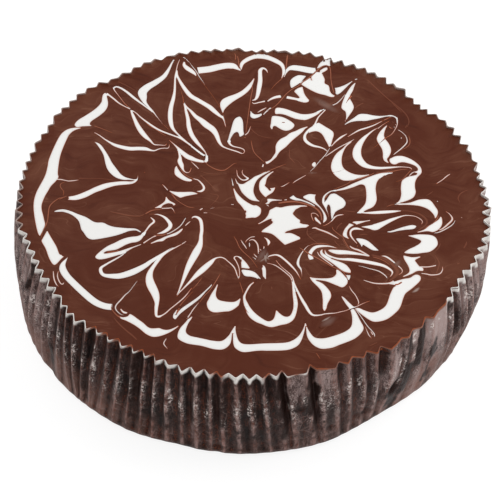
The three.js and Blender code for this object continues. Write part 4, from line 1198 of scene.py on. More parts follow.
    # The foot's radius about its own middle.
    foot: tuple[Point, ...] = (
        (0, 97), (90, 95.5), (180, 96), (200, 97), (219, 97), (235, 97), (243, 97.3), (254, 95.5),
        (259, 96.6), (266, 97), (273, 96.6), (286, 96.4), (299, 94.4), (307, 93.9), (315, 95.2),
        (321, 96.4), (328, 96.8), (333, 98.2), (345, 99.2))
    # How far the wall swells out halfway up.
    belly: tuple[Point, ...] = (
        (0, 1.8), (30, 1.5), (150, 1), (185, 1.1), (200, 2), (220, 2.4), (260, 1.6), (290, 1.8), (320, 3),
        (345, 4))
    # How many degrees each fold has turned by the time it reaches the foot, and how late it does: 1 is
    # evenly all the way down and 2 mostly near the foot.
    slant: tuple[Point, ...] = (
        (0, 0.5, 1), (60, 0, 1), (150, 0, 1), (195, -3, 1), (210, -2, 2), (219, -1.2, 2), (222, 0.5, 2),
        (225, 0.5, 2), (228, -1.8, 2), (232, -2.4, 2), (238, -1.8, 2), (243, -0.6, 2), (252, 1, 1),
        (262, 2.4, 1), (276, 5.4, 1), (288, 5.6, 1), (296, 4.4, 1), (305, 3.6, 1), (320, 3, 1), (345, 2, 1))
    # Pale bands of bare paper along the top: first and last angle, depth in millimetres, strength, and how
    # far out on the fold it starts.
    bare_sectors: tuple[Point, ...] = (
        (12, 80, 0.9, 0.45, -1), (80, 150, 0.8, 0.25, -1), (150, 191, 0.9, 0.32, -1),
        (191, 215, 2.2, 1.0, -1), (215, 229, 1.5, 1.0, -1), (229, 248, 1.0, 0.95, -0.1),
        (248, 261.6, 2.2, 0.95, -0.9), (264.6, 273.4, 2.9, 1.0, -1), (275, 277, 1.8, 0.95, -0.7),
        (277, 284, 0.6, 0.9, -0.4), (326, 360, 3.4, 1.0, -1), (0, 12, 1.6, 0.9, -1))
    # Pockets pressed into the wall: angle, height, half width in degrees, half height and depth in
    # millimetres.
    dents: tuple[Point, ...] = (
        (309.5, 22, 1.5, 4.5, 2.6), (202.3, 43, 1, 7, 1.2), (213.8, 13, 1.6, 11, 1.5),
        (312.5, 34, 0.9, 17, 1.0), (303.8, 45, 1.4, 7, 1.0), (302, 12.5, 2.6, 2.2, 1.0),
        (292.5, 13, 1.2, 2.2, 0.7), (282.5, 31, 2.2, 1.4, 0.5), (324, 17, 2.4, 8, 1.6),
        (331, 40, 1.2, 12, 1.4), (264.5, 6, 1.8, 2.5, 0.9), (279.5, 33, 1.4, 12, 1.0),
        (286, 36, 1.2, 12, 0.8))
    # Panels of the wall that differ from their surroundings: first and last angle, lowest and highest point
    # in millimetres, and how much paler the paper is, partly painted light, or darker below 0, which is
    # painted shade.
    panels: tuple[Point, ...] = (
        (279.6, 283.9, 38, 54, 0.2), (286.4, 290.4, 42, 54, 0.25), (302.6, 305.4, 38, 54, -0.45),
        (303, 306.2, 22, 35, 0.5), (307, 309.6, 27, 47, 0.4), (307, 311, 16.5, 27, -0.85),
        (308.6, 311.8, 6, 22, -0.8), (310.4, 313, -2, 12, -0.7), (313.2, 314.6, 44, 53, 0.7),
        (313.4, 315.6, 30, 40, 0.4), (314.8, 317.6, 28, 54, -0.85), (318.4, 326, 42, 54, 0.6),
        (311.8, 315, 13, 32, -0.85), (311, 312.8, 26, 54, -1), (320.4, 323, 26, 38, -0.65),
        (321, 324, 9, 31, -0.65), (322.6, 325.6, -3, 14, -0.5), (262.6, 266, 20, 50, -0.5),
        (200.8, 202.6, 34, 42, -0.8), (202, 203.8, 42, 52, -0.7), (277, 279, 38, 54, -0.9),
        (278.4, 280.4, 26, 40, -0.9), (279.8, 281.6, 12, 28, -0.8), (284.2, 286.2, 42, 54, -0.9),
        (285.2, 287.8, 26, 44, -0.9), (287, 289, 12, 28, -0.6), (290.6, 292.6, 16, 30, -0.5),
        (291.6, 294, 36, 54, -0.3), (241.6, 244.6, 10, 54, -0.5), (213.4, 216, 8, 26, -0.65),
        (216, 218.6, 28, 52, -0.4), (227.4, 229.8, 6, 28, -0.5), (326, 328.4, 45, 54, -0.5),
        (329.6, 333, 24, 42, -0.5), (333, 342, 4, 20, -0.3), (296.4, 298, 10, 34, -0.3),
        (296.8, 299, 30, 42, -0.35), (255, 259, 8, 20, 0.2), (180, 214, -2, 26, 0.4),
        (316, 350, -2, 24, 0.4), (195, 215, 26, 40, 0.15))
    # Painted glints, almost white highlights on the crinkled ridges: angle, middle height, half height,
    # strength.
    glints: tuple[Point, ...] = (
        (210.5, 46.5, 3, 1), (206, 36, 3, 0.9), (209.5, 37, 2.5, 0.8), (213, 44, 2, 0.9),
        (213, 37, 2, 0.8), (215.2, 36, 2, 0.8), (214.8, 30, 3, 0.8), (219, 36, 3, 0.9),
        (221.7, 37, 3, 0.8), (225.5, 37, 3, 0.8), (228.2, 34, 4, 0.7), (231.7, 45, 2.5, 0.8),
        (231.7, 33, 5, 0.7), (238.6, 33, 5, 0.6), (242, 34, 5, 0.7), (245.3, 34, 5, 0.7),
        (248.3, 33, 4, 0.6), (251.6, 38, 2, 0.9), (252.3, 32, 3, 0.9), (254.8, 31, 3, 0.9),
        (258.4, 33, 4, 0.7), (261.3, 28, 3, 0.9), (268.3, 33, 3, 0.8), (271.3, 33, 3.5, 1),
        (274.8, 34, 4, 0.6), (281, 33, 2.5, 0.9), (284, 37, 2.5, 0.8), (288.4, 35, 5, 0.7),
        (290.6, 31, 4, 0.8), (295.4, 38, 5, 0.9), (298.2, 38, 4, 0.8), (303.8, 29, 5, 0.6),
        (307.6, 33, 4, 0.6), (309.3, 40, 4, 0.9), (311, 33, 12, 0.7), (313.8, 48, 4, 1),
        (314.6, 35, 4, 0.9), (328, 42, 2.5, 0.9), (329, 38, 2.5, 0.8), (319.4, 47, 4, 0.8),
        (325.6, 47, 4, 0.7), (322.4, 48, 3, 0.6), (335.2, 43, 5, 0.8), (338, 40, 5, 0.7))
    # The ridges' mauve sheen, a painted reflection of the light: angle, strength, and how narrow it is.
    glows: tuple[Point, ...] = (
        (0, 0.7, 0.3), (180, 0.6, 0.4), (205, 0.6, 0.4), (218, 0.75, 0.72), (246, 0.8, 0.7),
        (252, 0.9, 0.25), (285, 0.95, 0.15), (300, 0.9, 0.25), (345, 0.7, 0.3))
    # How pale the paper is between its folds, by angle: mostly painted light, palest on the right under the
    # key light and darkest at the front, in shade.
    pallor_and_light: tuple[Point, ...] = (
        (0, 0.75), (90, 0.45), (180, 0.5), (200, 0.7), (214, 0.5), (222, 0.35), (230, 0.22), (245, 0.12),
        (262, 0.12), (277, 0.15), (279, 0.5), (283.6, 0.5), (285, 0), (286.2, 0.55), (290.6, 0.6),
        (292, 0.25), (294, 0.5), (296, 0.3), (305, 0.5), (317, 0.5), (319, 1.0), (325, 1.0), (327, 0.6),
        (345, 0.8))

    def __post_init__(self) -> None:
        """Works out the folds' places and their unevenness once."""
        rows = np.array(self.folds, float)
        self.angle, self.radius = np.radians(rows[:, 0]), rows[:, 1]
        around = (np.roll(self.radius, 1) + np.roll(self.radius, -1)) / 2
        self.kind = np.clip((self.radius - around) / self.full_fold, -1, 1)
        tips = self.kind > 0.3
        self.reach = np.interp(self.angle, self.angle[tips], self.radius[tips], period=2 * np.pi)
        self.depth = self.reach - self.radius
        draw = np.random.default_rng(self.seed)
        self.sway = draw.normal(0, 1, (3, len(rows)))
        self.flank_tint = draw.normal(0, self.flank_contrast, len(rows))
        self.fold = np.repeat(np.arange(len(rows)), self.columns_between)
        self.share = np.tile(np.arange(self.columns_between) / self.columns_between, len(rows))

    @staticmethod
    def round_table(table: Sequence[Point], angle: np.ndarray, column: int = 1) -> np.ndarray:
        """Reads a table of angle and values between its rows, round the whole turn."""
        rows = np.array(table, float)
        return np.interp(np.degrees(angle) % 360, rows[:, 0], rows[:, column], period=360)

    def along(self, values: np.ndarray) -> np.ndarray:
        """Carries one value for each fold, in the last axis, straight along the columns to the next."""
        after = np.roll(values, -1, axis=-1)
        return values[..., self.fold] * (1 - self.share) + after[..., self.fold] * self.share

    def zigzag(self, level: np.ndarray, inset: float = 0.0) -> np.ndarray:
        """Shapes the folded wall.

        A tip's radius goes from the foot's outline to the rim's, and a crease lies inside it by its depth,
        most of which is still there halfway down. Folds turn and wander a little on the way, the flanks
        between them are straight, and the corners are eased by averaging each column with its neighbours.

        Args:
            level: heights as a share of the way from the foot's round edge to the rim, one for each row.
            inset: how far inside the paper's outer face, in millimetres.

        Returns:
            x and y, 2 by rows by columns.
        """
        up = level[:, None]
        low = self.round_table(self.foot, self.angle)
        reach = low + (self.reach - low) * up ** self.flare
        reach = reach + self.round_table(self.belly, self.angle) * np.sin(np.pi * up)
        share = self.foot_fold + (1 - self.foot_fold) * up ** self.fold_growth
        slow, quick = np.sin(np.pi * up), np.sin(3 * np.pi * up)
        squeeze = 1 + self.uneven_depth * self.sway[1] * quick
        radius = reach - self.depth * share * np.clip(squeeze, 0.6, 1.4) - inset
        wander = self.slow_bend * self.sway[0] * slow + self.quick_bend * self.sway[2] * quick
        far, late = (self.round_table(self.slant, self.angle, column) for column in (1, 2))
        turn = self.angle + np.radians(wander + far * (1 - up) ** late)
        plan = np.stack([radius * np.cos(turn) + BASE_LEAN * (1 - up), radius * np.sin(turn)])
        plan = self.along(plan)
        return (np.roll(plan, 1, -1) + 2 * plan + np.roll(plan, -1, -1)) / 4

    def share_of_height(self, height: np.ndarray) -> np.ndarray:
        """Turns a height in millimetres into the level that the folds are shaped by."""
        return np.clip((height - self.edge_radius) / (RIM_HEIGHT - self.edge_radius), 0, 1)

    def edge_at(self, height: float, inset: float) -> np.ndarray:
        """The paper's inner zigzag at one height: x and y for each column."""
        return self.zigzag(self.share_of_height(np.array([height])), inset)[:, 0].T

    def tucked_foot(self, ring: np.ndarray) -> tuple[np.ndarray, np.ndarray]:
        """Turns the wall under in a quarter round.

        Args:
            ring: x and y of the wall's lowest row, 2 by columns.

        Returns:
            x and y, 2 by rows by columns, and each row's height; the first row is on the ground.
        """
        angle, even, _ = np.array(self.under).T
        bend = np.radians(angle)
        middle = np.array([[BASE_LEAN], [0.0]])
        spoke = ring - middle
        reach = np.hypot(*spoke)
        smooth = reach.copy()
        times, away = self.averaged
        for _ in range(times):
            smooth = (np.roll(smooth, away) + smooth + np.roll(smooth, -away)) / 3
        blend = even[:, None]
        tucked = smooth * blend + reach * (1 - blend) - self.edge_radius * (1 - np.cos(bend))[:, None]
        plan = middle[:, None] + spoke[:, None] / reach * tucked
        return plan, self.edge_radius * (1 - np.sin(bend))

    @staticmethod
    def turn_at(plan: np.ndarray, height: np.ndarray) -> np.ndarray:
        """The angle in degrees about the leaning case's own middle at each height."""
        lean = BASE_LEAN * (1 - np.clip(height / RIM_HEIGHT, 0, 1))
        return np.degrees(np.arctan2(plan[1], plan[0] - lean)) % 360

    @staticmethod
    def spot(turn: np.ndarray, height: np.ndarray, middle: Point, half: Point) -> np.ndarray:
        """A soft round spot on the wall: 1 in its middle, gone by its half width and half height."""
        away = ((turn - middle[0]) / half[0]) ** 2 + ((height - middle[1]) / half[1]) ** 2
        return np.exp(-away ** 1.5)

    def looks(self, plan: np.ndarray, height: np.ndarray, fold: np.ndarray,
              inward: np.ndarray) -> dict[str, np.ndarray]:
        """Says how each vertex looks.

        The paper is bare in the bare sectors, down to their depth, deepest on the tips. Elsewhere the inner
        face is lined brown, and the lip too, to orange in the soaked sector. The tint by angle is painted
        light and shade. Panels make the paper paler or darker, the darker as painted shade; glints are
        painted highlights, and a ridge gets a painted sheen by how far out on its fold a vertex lies.

        Args:
            plan: x and y.
            height: z, rows by columns.
            fold: 1 on a tip and -1 in a crease.
            inward: whether a row is on the inner face.

        Returns:
            The fold, tint, glow, bare, soaked, glint and gloom values.
        """
        turn = self.turn_at(plan, height)
        radians = np.radians(turn)
        drop = RIM_HEIGHT - height
        bare, gloom, chip = np.zeros((3, *turn.shape))
        for first, last, deep, much, least in self.bare_sectors:
            outer = np.clip((fold - least) / 0.3 + (least <= -1), 0, 1)
            down = np.clip((deep * (1 + self.bare_slope * (fold - 1)) - drop) / self.rim_fade + 0.5, 0, 1)
            bare = np.maximum(bare, much * band(turn, first, last, self.sector_fade) * outer * down)
        orange = (turn > self.soaked_sector[0]) & (turn < self.soaked_sector[1])
        lip = np.where(orange, *self.soaked_lip) * np.clip(1.5 - np.maximum(drop, 0) / self.rim_fade, 0, 1)
        lined = np.where(inward, np.where(orange, *self.soaked_inside), 0.0)
        soaked = np.maximum(lined, lip) * (1 - bare * (bare > 0.7))
        # Tint by angle: painted light and shade, palest on the lit right and darkest at the front.
        tint = self.round_table(self.pallor_and_light, radians) + self.flank_tint[self.fold]
        # Paler panels raise the tint, partly painted light; darker ones become gloom, painted shade.
        for first, last, low, high, shift in self.panels:
            patch = (shift * band(turn, first, last, self.panel_fade[0])
                     * band(height, low, high, self.panel_fade[1]))
            tint, gloom = tint + np.maximum(patch, 0), np.maximum(gloom, -patch)
        # Painted glints.
        for where, level, tall, much in self.glints:
            mark = self.spot(turn, height, (where, level), (self.glint_half, tall))
            chip = np.maximum(chip, much * mark)
        # The ridges' painted sheen, by how far out on its fold a vertex lies.
        strength, narrow = (self.round_table(self.glows, radians, column) for column in (1, 2))
        lift = np.clip((fold - narrow) / (1 - narrow), 0, 1)
        ripple = np.sin(height * 0.21 + 2.4 * self.along(self.sway[0]))
        uneven = 1 + 0.3 * self.along(self.sway[2]) + 0.25 * ripple
        glow = np.clip(strength * lift * (3 - 2 * lift) * lift * 1.3 * uneven, 0, 1)
        return {"fold": fold, "tint": tint, "glow": glow, "bare": bare, "soaked": soaked, "chip": chip,
                "gloom": gloom}

    def build(self) -> bpy.types.Object:
        """Makes the case: foot, rounded edge, folded wall, rim, and the inner face down into the icing.

        The wall swells by a slow wave round the cake, most at mid height, and the dents press it in. A
        quicker wave lifts and lowers the rim.

        Returns:
            The piece.
        """
        rise = np.linspace(0, 1, self.rows)
        wall = self.zigzag(rise)
        height = self.edge_radius + rise * (RIM_HEIGHT - self.edge_radius)
        angle = np.arctan2(wall[1], wall[0])
        swell = wave(*self.swell)(angle) * np.sin(np.pi * rise)[:, None]
        press = np.zeros_like(angle)
        turned = self.turn_at(wall, height[:, None])
        for turn, level, wide, tall, deep in self.dents:
            press = press + deep * self.spot(turned, height[:, None], (turn, level), (wide, tall))
        wall = wall * (1 + (swell - press) / self.wall_radius)
        foot, foot_height = self.tucked_foot(wall[:, 0])
        inner_height = np.array(self.inner_heights)
        inner = self.zigzag(self.share_of_height(inner_height), self.paper)
        plan = np.concatenate([foot, wall, inner], axis=1)
        rows, columns = plan.shape[1:]
        z = np.repeat(np.concatenate([foot_height, height, inner_height])[:, None], columns, 1)
        below, top = len(foot_height), len(foot_height) + self.rows
        ragged = wave(*self.ragged)(angle[-1])
        z[top - 1:top + 2] += np.clip(ragged, -self.most_ragged, self.most_ragged)
        fold = np.repeat(self.along(self.kind)[None], rows, 0)
        fold[:below] *= np.array(self.under)[:, 2:]
        # Dents deepen the folds' painted shade.
        fold[below:top] -= self.dent_shade * press
        values = self.looks(plan, z, fold, (np.arange(rows) >= top)[:, None])
        sheet = Sheet()
        sheet.add(np.stack([*plan, z], -1).reshape(-1, 3), [quads(rows, columns, ring=True)],
                  **{k: np.broadcast_to(v, z.shape).reshape(-1) for k, v in values.items()})
        ring = np.column_stack([*plan[:, 0], np.zeros(columns)])
        sheet.add(np.vstack([ring, [[BASE_LEAN, 0.0, 0.0]]]), [fan(columns, columns)[:, ::-1]],
                  **(dict.fromkeys(values, 0.0) | {"tint": 0.5}))
        return sheet.piece("paper_case_fluted", PaperFinish().make(), "paper_case", "paper_case")


@dataclass
class CakeBody:
    """The solid cake inside the case, which only its paper shows."""

    # The side's height and radius, from under the foot to just under the icing.
    profile: tuple[Point, ...] = ((1.5, 84.0), (4.0, 87.0), (28.0, 90.0), (49.5, 93.0))
    columns: int = 96

    def build(self) -> bpy.types.Object:
        """Makes the cake: its profile turned round a leaning middle, and closed by a fan at each end.

        Returns:
            The piece.
        """
        height, radius = np.array(self.profile).T
        turn = np.linspace(0, 2 * np.pi, self.columns, endpoint=False)
        lean = BASE_LEAN * (1 - height / RIM_HEIGHT)
        x = lean[:, None] + radius[:, None] * np.cos(turn)
        y = radius[:, None] * np.sin(turn)
        z = np.repeat(height[:, None], self.columns, 1)
        ends = [[lean[0], 0, height[0]], [lean[-1], 0, height[-1]]]
        side, rows = z.size, len(height)
        last = [side - self.columns, side - self.columns, 0]
        sheet = Sheet()
        sheet.add(np.vstack([np.stack([x, y, z], -1).reshape(-1, 3), ends]),
                  [quads(rows, self.columns, ring=True), fan(self.columns, side)[:, ::-1],
                   fan(self.columns, side + 1) + last])
        return sheet.piece("cake_body", CrumbFinish().make(), "cake", "cake")


# ------------------------------ the icing
@dataclass
class Icing:
    """The poured icing: level, and lying in every pleat of the case."""

    case: PaperCase
    rings: int = 72
    # How the rings are spread: 1 is evenly, and less crowds them towards the edge.
    spread: float = 0.8
    # The circle that the rings follow, and how far out they start to bend into the pleats.
    circle: float = 96.0
    bend_from: float = 0.9
    skirt: float = 1.6
    swell: float = 0.16
    # How high the icing climbs the paper in front and behind, between which places along y that changes,
    # and how soon the climb falls away from the paper.
    climb: tuple[float, float] = (0.35, 0.8)
    climb_change: tuple[float, float] = (15.0, 40.0)
    climb_fade: float = 0.8
    # Inside this radius nothing climbs.
    calm_radius: float = 88.0
    # How far the icing stays from the paper, and the marbling from the icing's edge.
    clearance: float = 0.02
    margin: float = 0.05

    def __post_init__(self) -> None:
        """Finds where the icing meets the paper."""
        self.edge = self.case.edge_at(ICING_LEVEL, self.case.paper + self.clearance)
        self.edge_turn = np.arctan2(self.edge[:, 1], self.edge[:, 0])

    def level_at(self, x: np.ndarray, y: np.ndarray) -> np.ndarray:
        """The icing's height at a place: level, with slow swells left by the palette knife."""
        slow = (np.sin(x * 0.071 + 1.3 * np.sin(y * 0.043)) * np.cos(y * 0.062 + 0.8)
                + 0.5 * np.sin(x * 0.16 - y * 0.11 + 2.0))
        return ICING_LEVEL + self.swell * slow

    def climb_at(self, places: np.ndarray) -> np.ndarray:
        """How far the icing climbs, most at the back, falling away within a millimetre of the paper.

        Args:
            places: x and y, n by 2.

        Returns:
            The climb in millimetres: its reach times e to the power of minus the distance over the fade.
        """
        climb = np.zeros(len(places))
        close = np.hypot(*places.T) > self.calm_radius
        if close.any():
            reach = np.interp(places[close][:, 1], self.climb_change, self.climb)
            climb[close] = reach * np.exp(-nearest(places[close], self.edge) / self.climb_fade)
        return climb

    def held(self, places: np.ndarray) -> np.ndarray:
        """Draws in whatever would lie beyond the paper, along its own spoke.

        Args:
            places: x and y, n by 2.

        Returns:
            The places, none of them past the icing's edge.
        """
        order = np.argsort(self.edge_turn)
        limit = np.interp(np.arctan2(places[:, 1], places[:, 0]), self.edge_turn[order],
                          np.hypot(*self.edge[order].T), period=2 * np.pi) - self.margin
        reach = np.maximum(np.hypot(*places.T), TINY)
        return places * np.minimum(1, limit / reach)[:, None]

    def build(self, marks: np.ndarray) -> bpy.types.Object:
        """Makes the icing: rings that grow from the middle into the pleats, and a short skirt below.

        Args:
            marks: points on the edges of the white marbling, which the icing's own streaks follow.

        Returns:
            The piece.
        """
        angle = self.edge_turn
        share = np.linspace(0, 1, self.rings)[1:, None, None] ** self.spread
        blend = np.clip((share - self.bend_from) / (1 - self.bend_from), 0, 1)
        calm = self.circle * np.stack([np.cos(angle), np.sin(angle)], -1)
        rings = share * (calm * (1 - blend) + self.edge * blend)
        rows, columns = rings.shape[:2]
        plan = np.vstack([[[0.0, 0.0]], rings.reshape(-1, 2)])
        top = np.column_stack([plan, self.level_at(*plan.T) + self.climb_at(plan)])
        low = np.column_stack([self.edge, np.full(columns, ICING_LEVEL - self.skirt)])
        sheet = Sheet()
        sheet.add(top, [fan(columns, -1) + 1, quads(rows, columns, ring=True)[:, ::-1] + 1],
                  drift=nearest(plan, marks))
        sheet.add(np.vstack([top[-columns:], low]), [quads(2, columns, ring=True)[:, ::-1]], drift=0.0)
        return sheet.piece("icing_dark", ChocolateFinish().make(), "chocolate_icing", "chocolate_icing")


# ------------------------------ the marbling
@dataclass
class Marbling:
    """White chocolate drawn through the icing with a skewer: pools with tips, lines, threads, and hazes of
    painted sheen.
    """

    icing: Icing
    spacing: float = 0.5
    # The net inside a pool: its step, how far its rows lie from each other in steps, and how far in from
    # the outline the first ring lies. The ring and the net keep clear of the outline, in such widths.
    net_step: float = 0.95
    net_row: float = 0.866
    rim_width: float = 0.4
    ring_clear: float = 0.75
    net_clear: float = 1.9
    # Places nearer than this become one.
    merging: float = 1e-5
    # A line's vertices across, from the left edge at -1 to the right at 1, and the shortest step along.
    profile: Point = (-1, -0.78, -0.42, 0, 0.42, 0.78, 1)
    least_step: float = 0.02
    # How wide the thinnest line is, and how much narrower tan threads are than their points say.
    least_width: float = 0.12
    tan_width: float = 0.72
    # Threads thinner than this hold less white chocolate, down to the least share.
    thin_width: float = 0.5
    thin_share: float = 0.45
    # How wide the edge is over which the white comes up, on top of the icing and where it sank in it; how
    # strong the grey-lilac painted sheen of the pools that sank is, and their place in the drawing.
    soft_edge: float = 0.6
    sunken_edge: float = 2.2
    sunken_sheen_strength: float = 0.8
    sunken_order: int = 2
    # How fast a haze comes up from its ends: less is faster.
    end_fade: float = 0.7
    # Of the white edges' points, each of this many is one that the icing's streaks follow.
    mark_every: int = 3
    # White shapes nearer than the seam run together, and only edges within reach count.
    seam: float = 0.3
    reach: float = 1.5
    # How far the marbling stands proud, over how wide a rounded edge, and how deep that starts.
    proud: float = 0.09
    rounding: float = 0.35
    buried: float = 0.026
    # How much higher each line lies than the last one, and after how many it starts again.
    step: float = 0.012
    steps: int = 5
    marks: list[np.ndarray] = field(default_factory=list)
    whites: list[np.ndarray] = field(default_factory=list)

    def height_at(self, x: np.ndarray, y: np.ndarray, depth: np.ndarray, order: int) -> np.ndarray:
        """The marbling's height: the icing's level, a rounded edge, and a step so that lines cross cleanly.

        Args:
            x: the places' x.
            y: the places' y.
            depth: how far in from the shape's edge each place lies, in millimetres.
            order: the shape's place in the drawing.

        Returns:
            The heights in millimetres.
        """
        rounded = self.proud * (1 - np.exp(-np.maximum(depth, 0) / self.rounding)) - self.buried
        climb = self.icing.climb_at(np.stack([x, y], -1).reshape(-1, 2)).reshape(x.shape)
        return self.icing.level_at(x, y) + climb + rounded + self.step * (order % self.steps)

    def pool(self, sheet: Sheet, runs: Sequence[Point], order: int, sunken_sheen: float = 0.0) -> None:
        """Fills one pool: its outline, a ring of places just inside it, and an even net of places within.

        Args:
            sheet: what it is added to.
            runs: the outline's runs from tip to tip.
            order: its place in the drawing.
            sunken_sheen: how strong its grey-lilac is, partly from sinking into the icing and partly
                painted sheen, or 0 for a white pool.
        """
        outline = smooth_outline(runs, self.spacing)
        low, high = outline.min(0), outline.max(0)
        gx, gy = np.meshgrid(np.arange(low[0], high[0], self.net_step),
                             np.arange(low[1], high[1], self.net_step * self.net_row))
        gx[1::2] += self.net_step / 2
        net = np.stack([gx, gy], -1).reshape(-1, 2)
        net = net[within(net, outline)]
        net = net[nearest(net, outline) > self.rim_width * self.net_clear] if len(net) else net
        after = np.roll(outline, -1, 0)
        tangent = unit_tangent(after - np.roll(outline, 1, 0))
        area = np.sum(outline[:, 0] * after[:, 1] - outline[:, 1] * after[:, 0])
        ring = outline + np.stack([-tangent[:, 1], tangent[:, 0]], -1) * np.sign(area) * self.rim_width
        ring = ring[within(ring, outline) & (nearest(ring, outline) > self.rim_width * self.ring_clear)]
        places = [Vector(p) for p in np.vstack([outline, ring, net]).tolist()]
        loop = fan(len(outline), 0)[:, :2].tolist()
        verts, _, faces, *_ = delaunay_2d_cdt(places, loop, [], 1, self.merging)
        flat = self.icing.held(np.array([tuple(v) for v in verts]))
        depth = nearest(flat, outline)
        z = self.height_at(*flat.T, depth, order)
        share = np.clip(depth / (self.sunken_edge if sunken_sheen else self.soft_edge), 0, 1)
        sheet.add(np.column_stack([flat, z]), [np.array([f for f in faces if len(f) == 3])],
                  cream=share * (sunken_sheen or 1.0), drift=0.0, bloom=float(sunken_sheen > 0))
        if not sunken_sheen:
            self.marks.append(outline[::self.mark_every])
            self.whites.append(outline)

    def line(self, sheet: Sheet, points: Point, tone: Tone, order: int) -> None:
        """Draws one line: the profile carried along its smooth path, as wide as its points say.

        White comes up over the soft edge. Any other tone goes from its edge's share to its middle's as
        1 minus the square of the way out, and less of it is left in thin places.

        Args:
            sheet: what it is added to.
            points: x, y and width in turn, along the line.
            tone: how much white chocolate it holds.
            order: its place in the drawing.
        """
        middle, edge, lift, sunk_and_sheen = tone.value
        run = smooth_run(np.reshape(points, (-1, 3)), self.spacing)
        run = run[np.r_[True, np.hypot(*np.diff(run[:, :2], axis=0).T) > self.least_step]]
        tangent = unit_tangent(np.gradient(run[:, :2], axis=0))
        across = np.stack([tangent[:, 1], -tangent[:, 0]], -1)
        narrowed = self.tan_width if tone is Tone.TAN else 1.0
        half = np.maximum(run[:, 2:] * narrowed, self.least_width) / 2
        offset = np.array(self.profile)
        depth = half * (1 - np.abs(offset))
        flat = run[:, None, :2] + across[:, None] * (half * offset)[..., None]
        flat = self.icing.held(flat.reshape(-1, 2)).reshape(flat.shape)
        z = self.height_at(flat[..., 0], flat[..., 1], depth, order) + lift
        if tone is Tone.WHITE:
            cream = np.clip(edge + (middle - edge) * depth / self.soft_edge, 0, 1)
        else:
            cream = np.repeat((edge + (middle - edge) * (1 - offset ** 2))[None], len(run), 0)
            if tone is not Tone.SLIT:
                cream = cream * np.clip(run[:, 2:] / self.thin_width, self.thin_share, 1)
        if sunk_and_sheen == 1:
            cream = cream * np.sin(np.pi * np.linspace(0, 1, len(run)))[:, None] ** self.end_fade
        sheet.add(np.dstack([flat, z]).reshape(-1, 3), [quads(len(run), len(offset))],
                  cream=cream.reshape(-1), drift=0.0, bloom=sunk_and_sheen)
        if tone is Tone.WHITE:
            self.marks.append(np.vstack([flat[::self.mark_every, 0], flat[::self.mark_every, -1]]))
            self.whites.append(np.vstack([flat[:, 0], flat[::-1, -1]]))

    def join_whites(self, sheet: Sheet) -> None:
        """Lets white shapes that overlap run into one.

        The edge they share is what is left of their outlines outside all the others. A vertex inside any of
        them is as white as its distance from that edge makes it.

        Args:
            sheet: the shapes drawn so far, the white ones first.
        """
        boxes = [(w.min(0), w.max(0)) for w in self.whites]

        def meeting(low: np.ndarray, high: np.ndarray) -> list[int]:
            """Which white shapes' boxes meet this one."""
            return [i for i, (a, b) in enumerate(boxes) if (a <= high).all() and (b >= low).all()]

        free = []
        for index, outline in enumerate(self.whites):
            hidden = np.zeros(len(outline), bool)
            for other in meeting(*boxes[index]):
                if other != index:
                    white = self.whites[other]
                    hidden |= within(outline, white) | (nearest(outline, white) < self.seam)
            free.append(outline[~hidden])
        edge = np.vstack(free)
        for index, places in enumerate(sheet.places):
            plan = places[:, :2]
            low, high = plan.min(0), plan.max(0)
            inside = np.full(len(plan), index < len(self.whites))
            for other in meeting(low, high):
                inside |= within(plan, self.whites[other])
            near = edge[((edge > low - self.reach) & (edge < high + self.reach)).all(1)]
            if inside.any() and len(near) and sheet.values["bloom"][index].max() < 1:
                cream = np.array(sheet.values["cream"][index])
                depth = nearest(plan[inside], near)
                cream[inside] = np.maximum(cream[inside], np.clip(depth / self.soft_edge, 0, 1))
                sheet.values["cream"][index] = cream

    def build(self) -> bpy.types.Object:
        """Makes all the marbling as one piece, the pools first and the fine threads on top.

        Returns:
            The piece.
        """
        sheet = Sheet()
        for order, runs in enumerate(POOLS):
            self.pool(sheet, runs, order)
        for runs in SUNKEN_SHEEN_POOLS:
            self.pool(sheet, runs, self.sunken_order, self.sunken_sheen_strength)
        for tone, lines in LINES.items():
            for order, points in enumerate(lines):
                self.line(sheet, points, tone, order)
            if tone is Tone.CREAM:
                self.join_whites(sheet)
        return sheet.piece("marbling_white", WhiteChocolateFinish().make(), "chocolate_icing",
                           "white_chocolate")


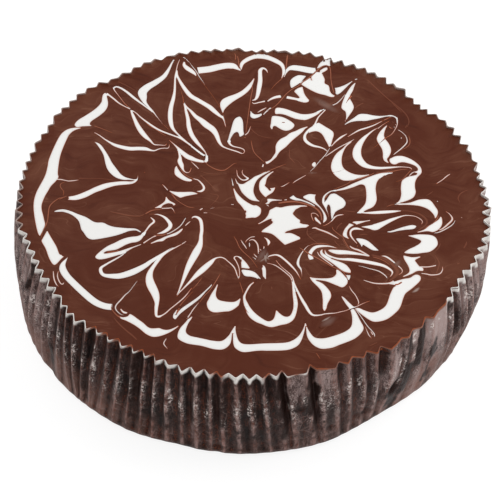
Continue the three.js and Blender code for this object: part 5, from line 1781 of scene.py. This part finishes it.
# ------------------------------ the studio
@dataclass
class Studio:
    """The floor, the soft lights and the camera."""

    # The camera: how far off it is, its height and roll in degrees, what it points at, its lens and
    # sensor, and how near and how far it sees in metres.
    distance: float = 1000.0
    elevation: float = 45.6
    roll: float = 1.5
    aim: Point = (-0.56, -28.65, 53.15)
    lens: float = 173.376
    sensor: float = 36.0
    sight: tuple[float, float] = (0.05, 20.0)
    # The floor's half side in metres, its colour, roughness and glow.
    floor_half: float = 6.0
    floor_colour: Colour = linear(130, 130, 130)
    floor_roughness: float = 0.9
    floor_glow: float = 0.86
    # Square soft lights: name, place, side and watts, what they point at, and the strength of the sky.
    lamps: tuple[tuple[str, Point, float, float], ...] = (
        ("key", (700, 250, 900), 900, 8.0), ("fill", (-600, 500, 900), 900, 4.0))
    lamp_aim: Point = (0, 0, 30)
    sky: float = 0.6

    def camera(self) -> None:
        """Puts the camera where the cake is seen as in the picture, tilted down and rolled."""
        tilt, roll = np.radians(self.elevation), np.radians(self.roll)
        back = np.array([0, -np.cos(tilt), np.sin(tilt)])
        right = np.array([1.0, 0, 0])
        up = np.cross(back, right)
        frame = np.eye(4)
        frame[:3, 0] = np.cos(roll) * right + np.sin(roll) * up
        frame[:3, 1] = -np.sin(roll) * right + np.cos(roll) * up
        frame[:3, 2] = back
        frame[:3, 3] = (np.array(self.aim) + back * self.distance) * MM
        lens = bpy.data.cameras.new("camera")
        lens.lens, lens.sensor_width = self.lens, self.sensor
        lens.clip_start, lens.clip_end = self.sight
        thing = linked("camera", lens)
        thing.matrix_world = Matrix(frame.tolist())
        bpy.context.scene.camera = thing

    def floor(self) -> None:
        """Lays a plain white floor under the cake."""
        mesh = bpy.data.meshes.new("floor")
        half = self.floor_half
        mesh.from_pydata([(-half, -half, 0), (half, -half, 0), (half, half, 0), (-half, half, 0)], [],
                         [(0, 1, 2, 3)])
        mesh.materials.append(Dress("white_floor").finish(
            self.floor_colour, self.floor_roughness, Specular_IOR_Level=0.0,
            Emission_Color=(1.0, 1.0, 1.0), Emission_Strength=self.floor_glow))
        linked("floor", mesh)

    def lights(self) -> None:
        """Surrounds the cake with pale light, with a broad key on the right and a weaker fill behind."""
        world = bpy.data.worlds.new("studio")
        world.use_nodes = True
        sky = world.node_tree.nodes["Background"]
        sky.inputs["Color"].default_value = (1.0, 1.0, 1.0, 1.0)
        sky.inputs["Strength"].default_value = self.sky
        bpy.context.scene.world = world
        for name, place, side, watts in self.lamps:
            light = bpy.data.lights.new(name, "AREA")
            light.shape, light.size, light.energy = "SQUARE", side * MM, watts
            ray = Vector(self.lamp_aim) - Vector(place)
            linked(name, light).matrix_world = (Matrix.Translation(Vector(place) * MM)
                                                @ ray.to_track_quat("-Z", "Y").to_matrix().to_4x4())

    def build(self) -> None:
        """Sets up everything round the cake, and shows colours as they are."""
        self.camera()
        self.floor()
        self.lights()
        scene = bpy.context.scene
        scene.view_settings.view_transform = "Standard"
        scene.view_settings.look = "None"


def main() -> None:
    """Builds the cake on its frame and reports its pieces."""
    logging.basicConfig(level=logging.INFO, format="%(name)s %(message)s")
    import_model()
    Studio().build()
    case = PaperCase()
    icing = Icing(case)
    marbling = Marbling(icing)
    pieces = [case.build(), CakeBody().build(), marbling.build()]
    pieces.append(icing.build(np.vstack(marbling.marks)))
    for piece in pieces:
        LOG.info("%s: %d faces", piece.name, len(piece.data.polygons))
    bpy.context.view_layer.update()


if __name__ == "__main__":
    main()
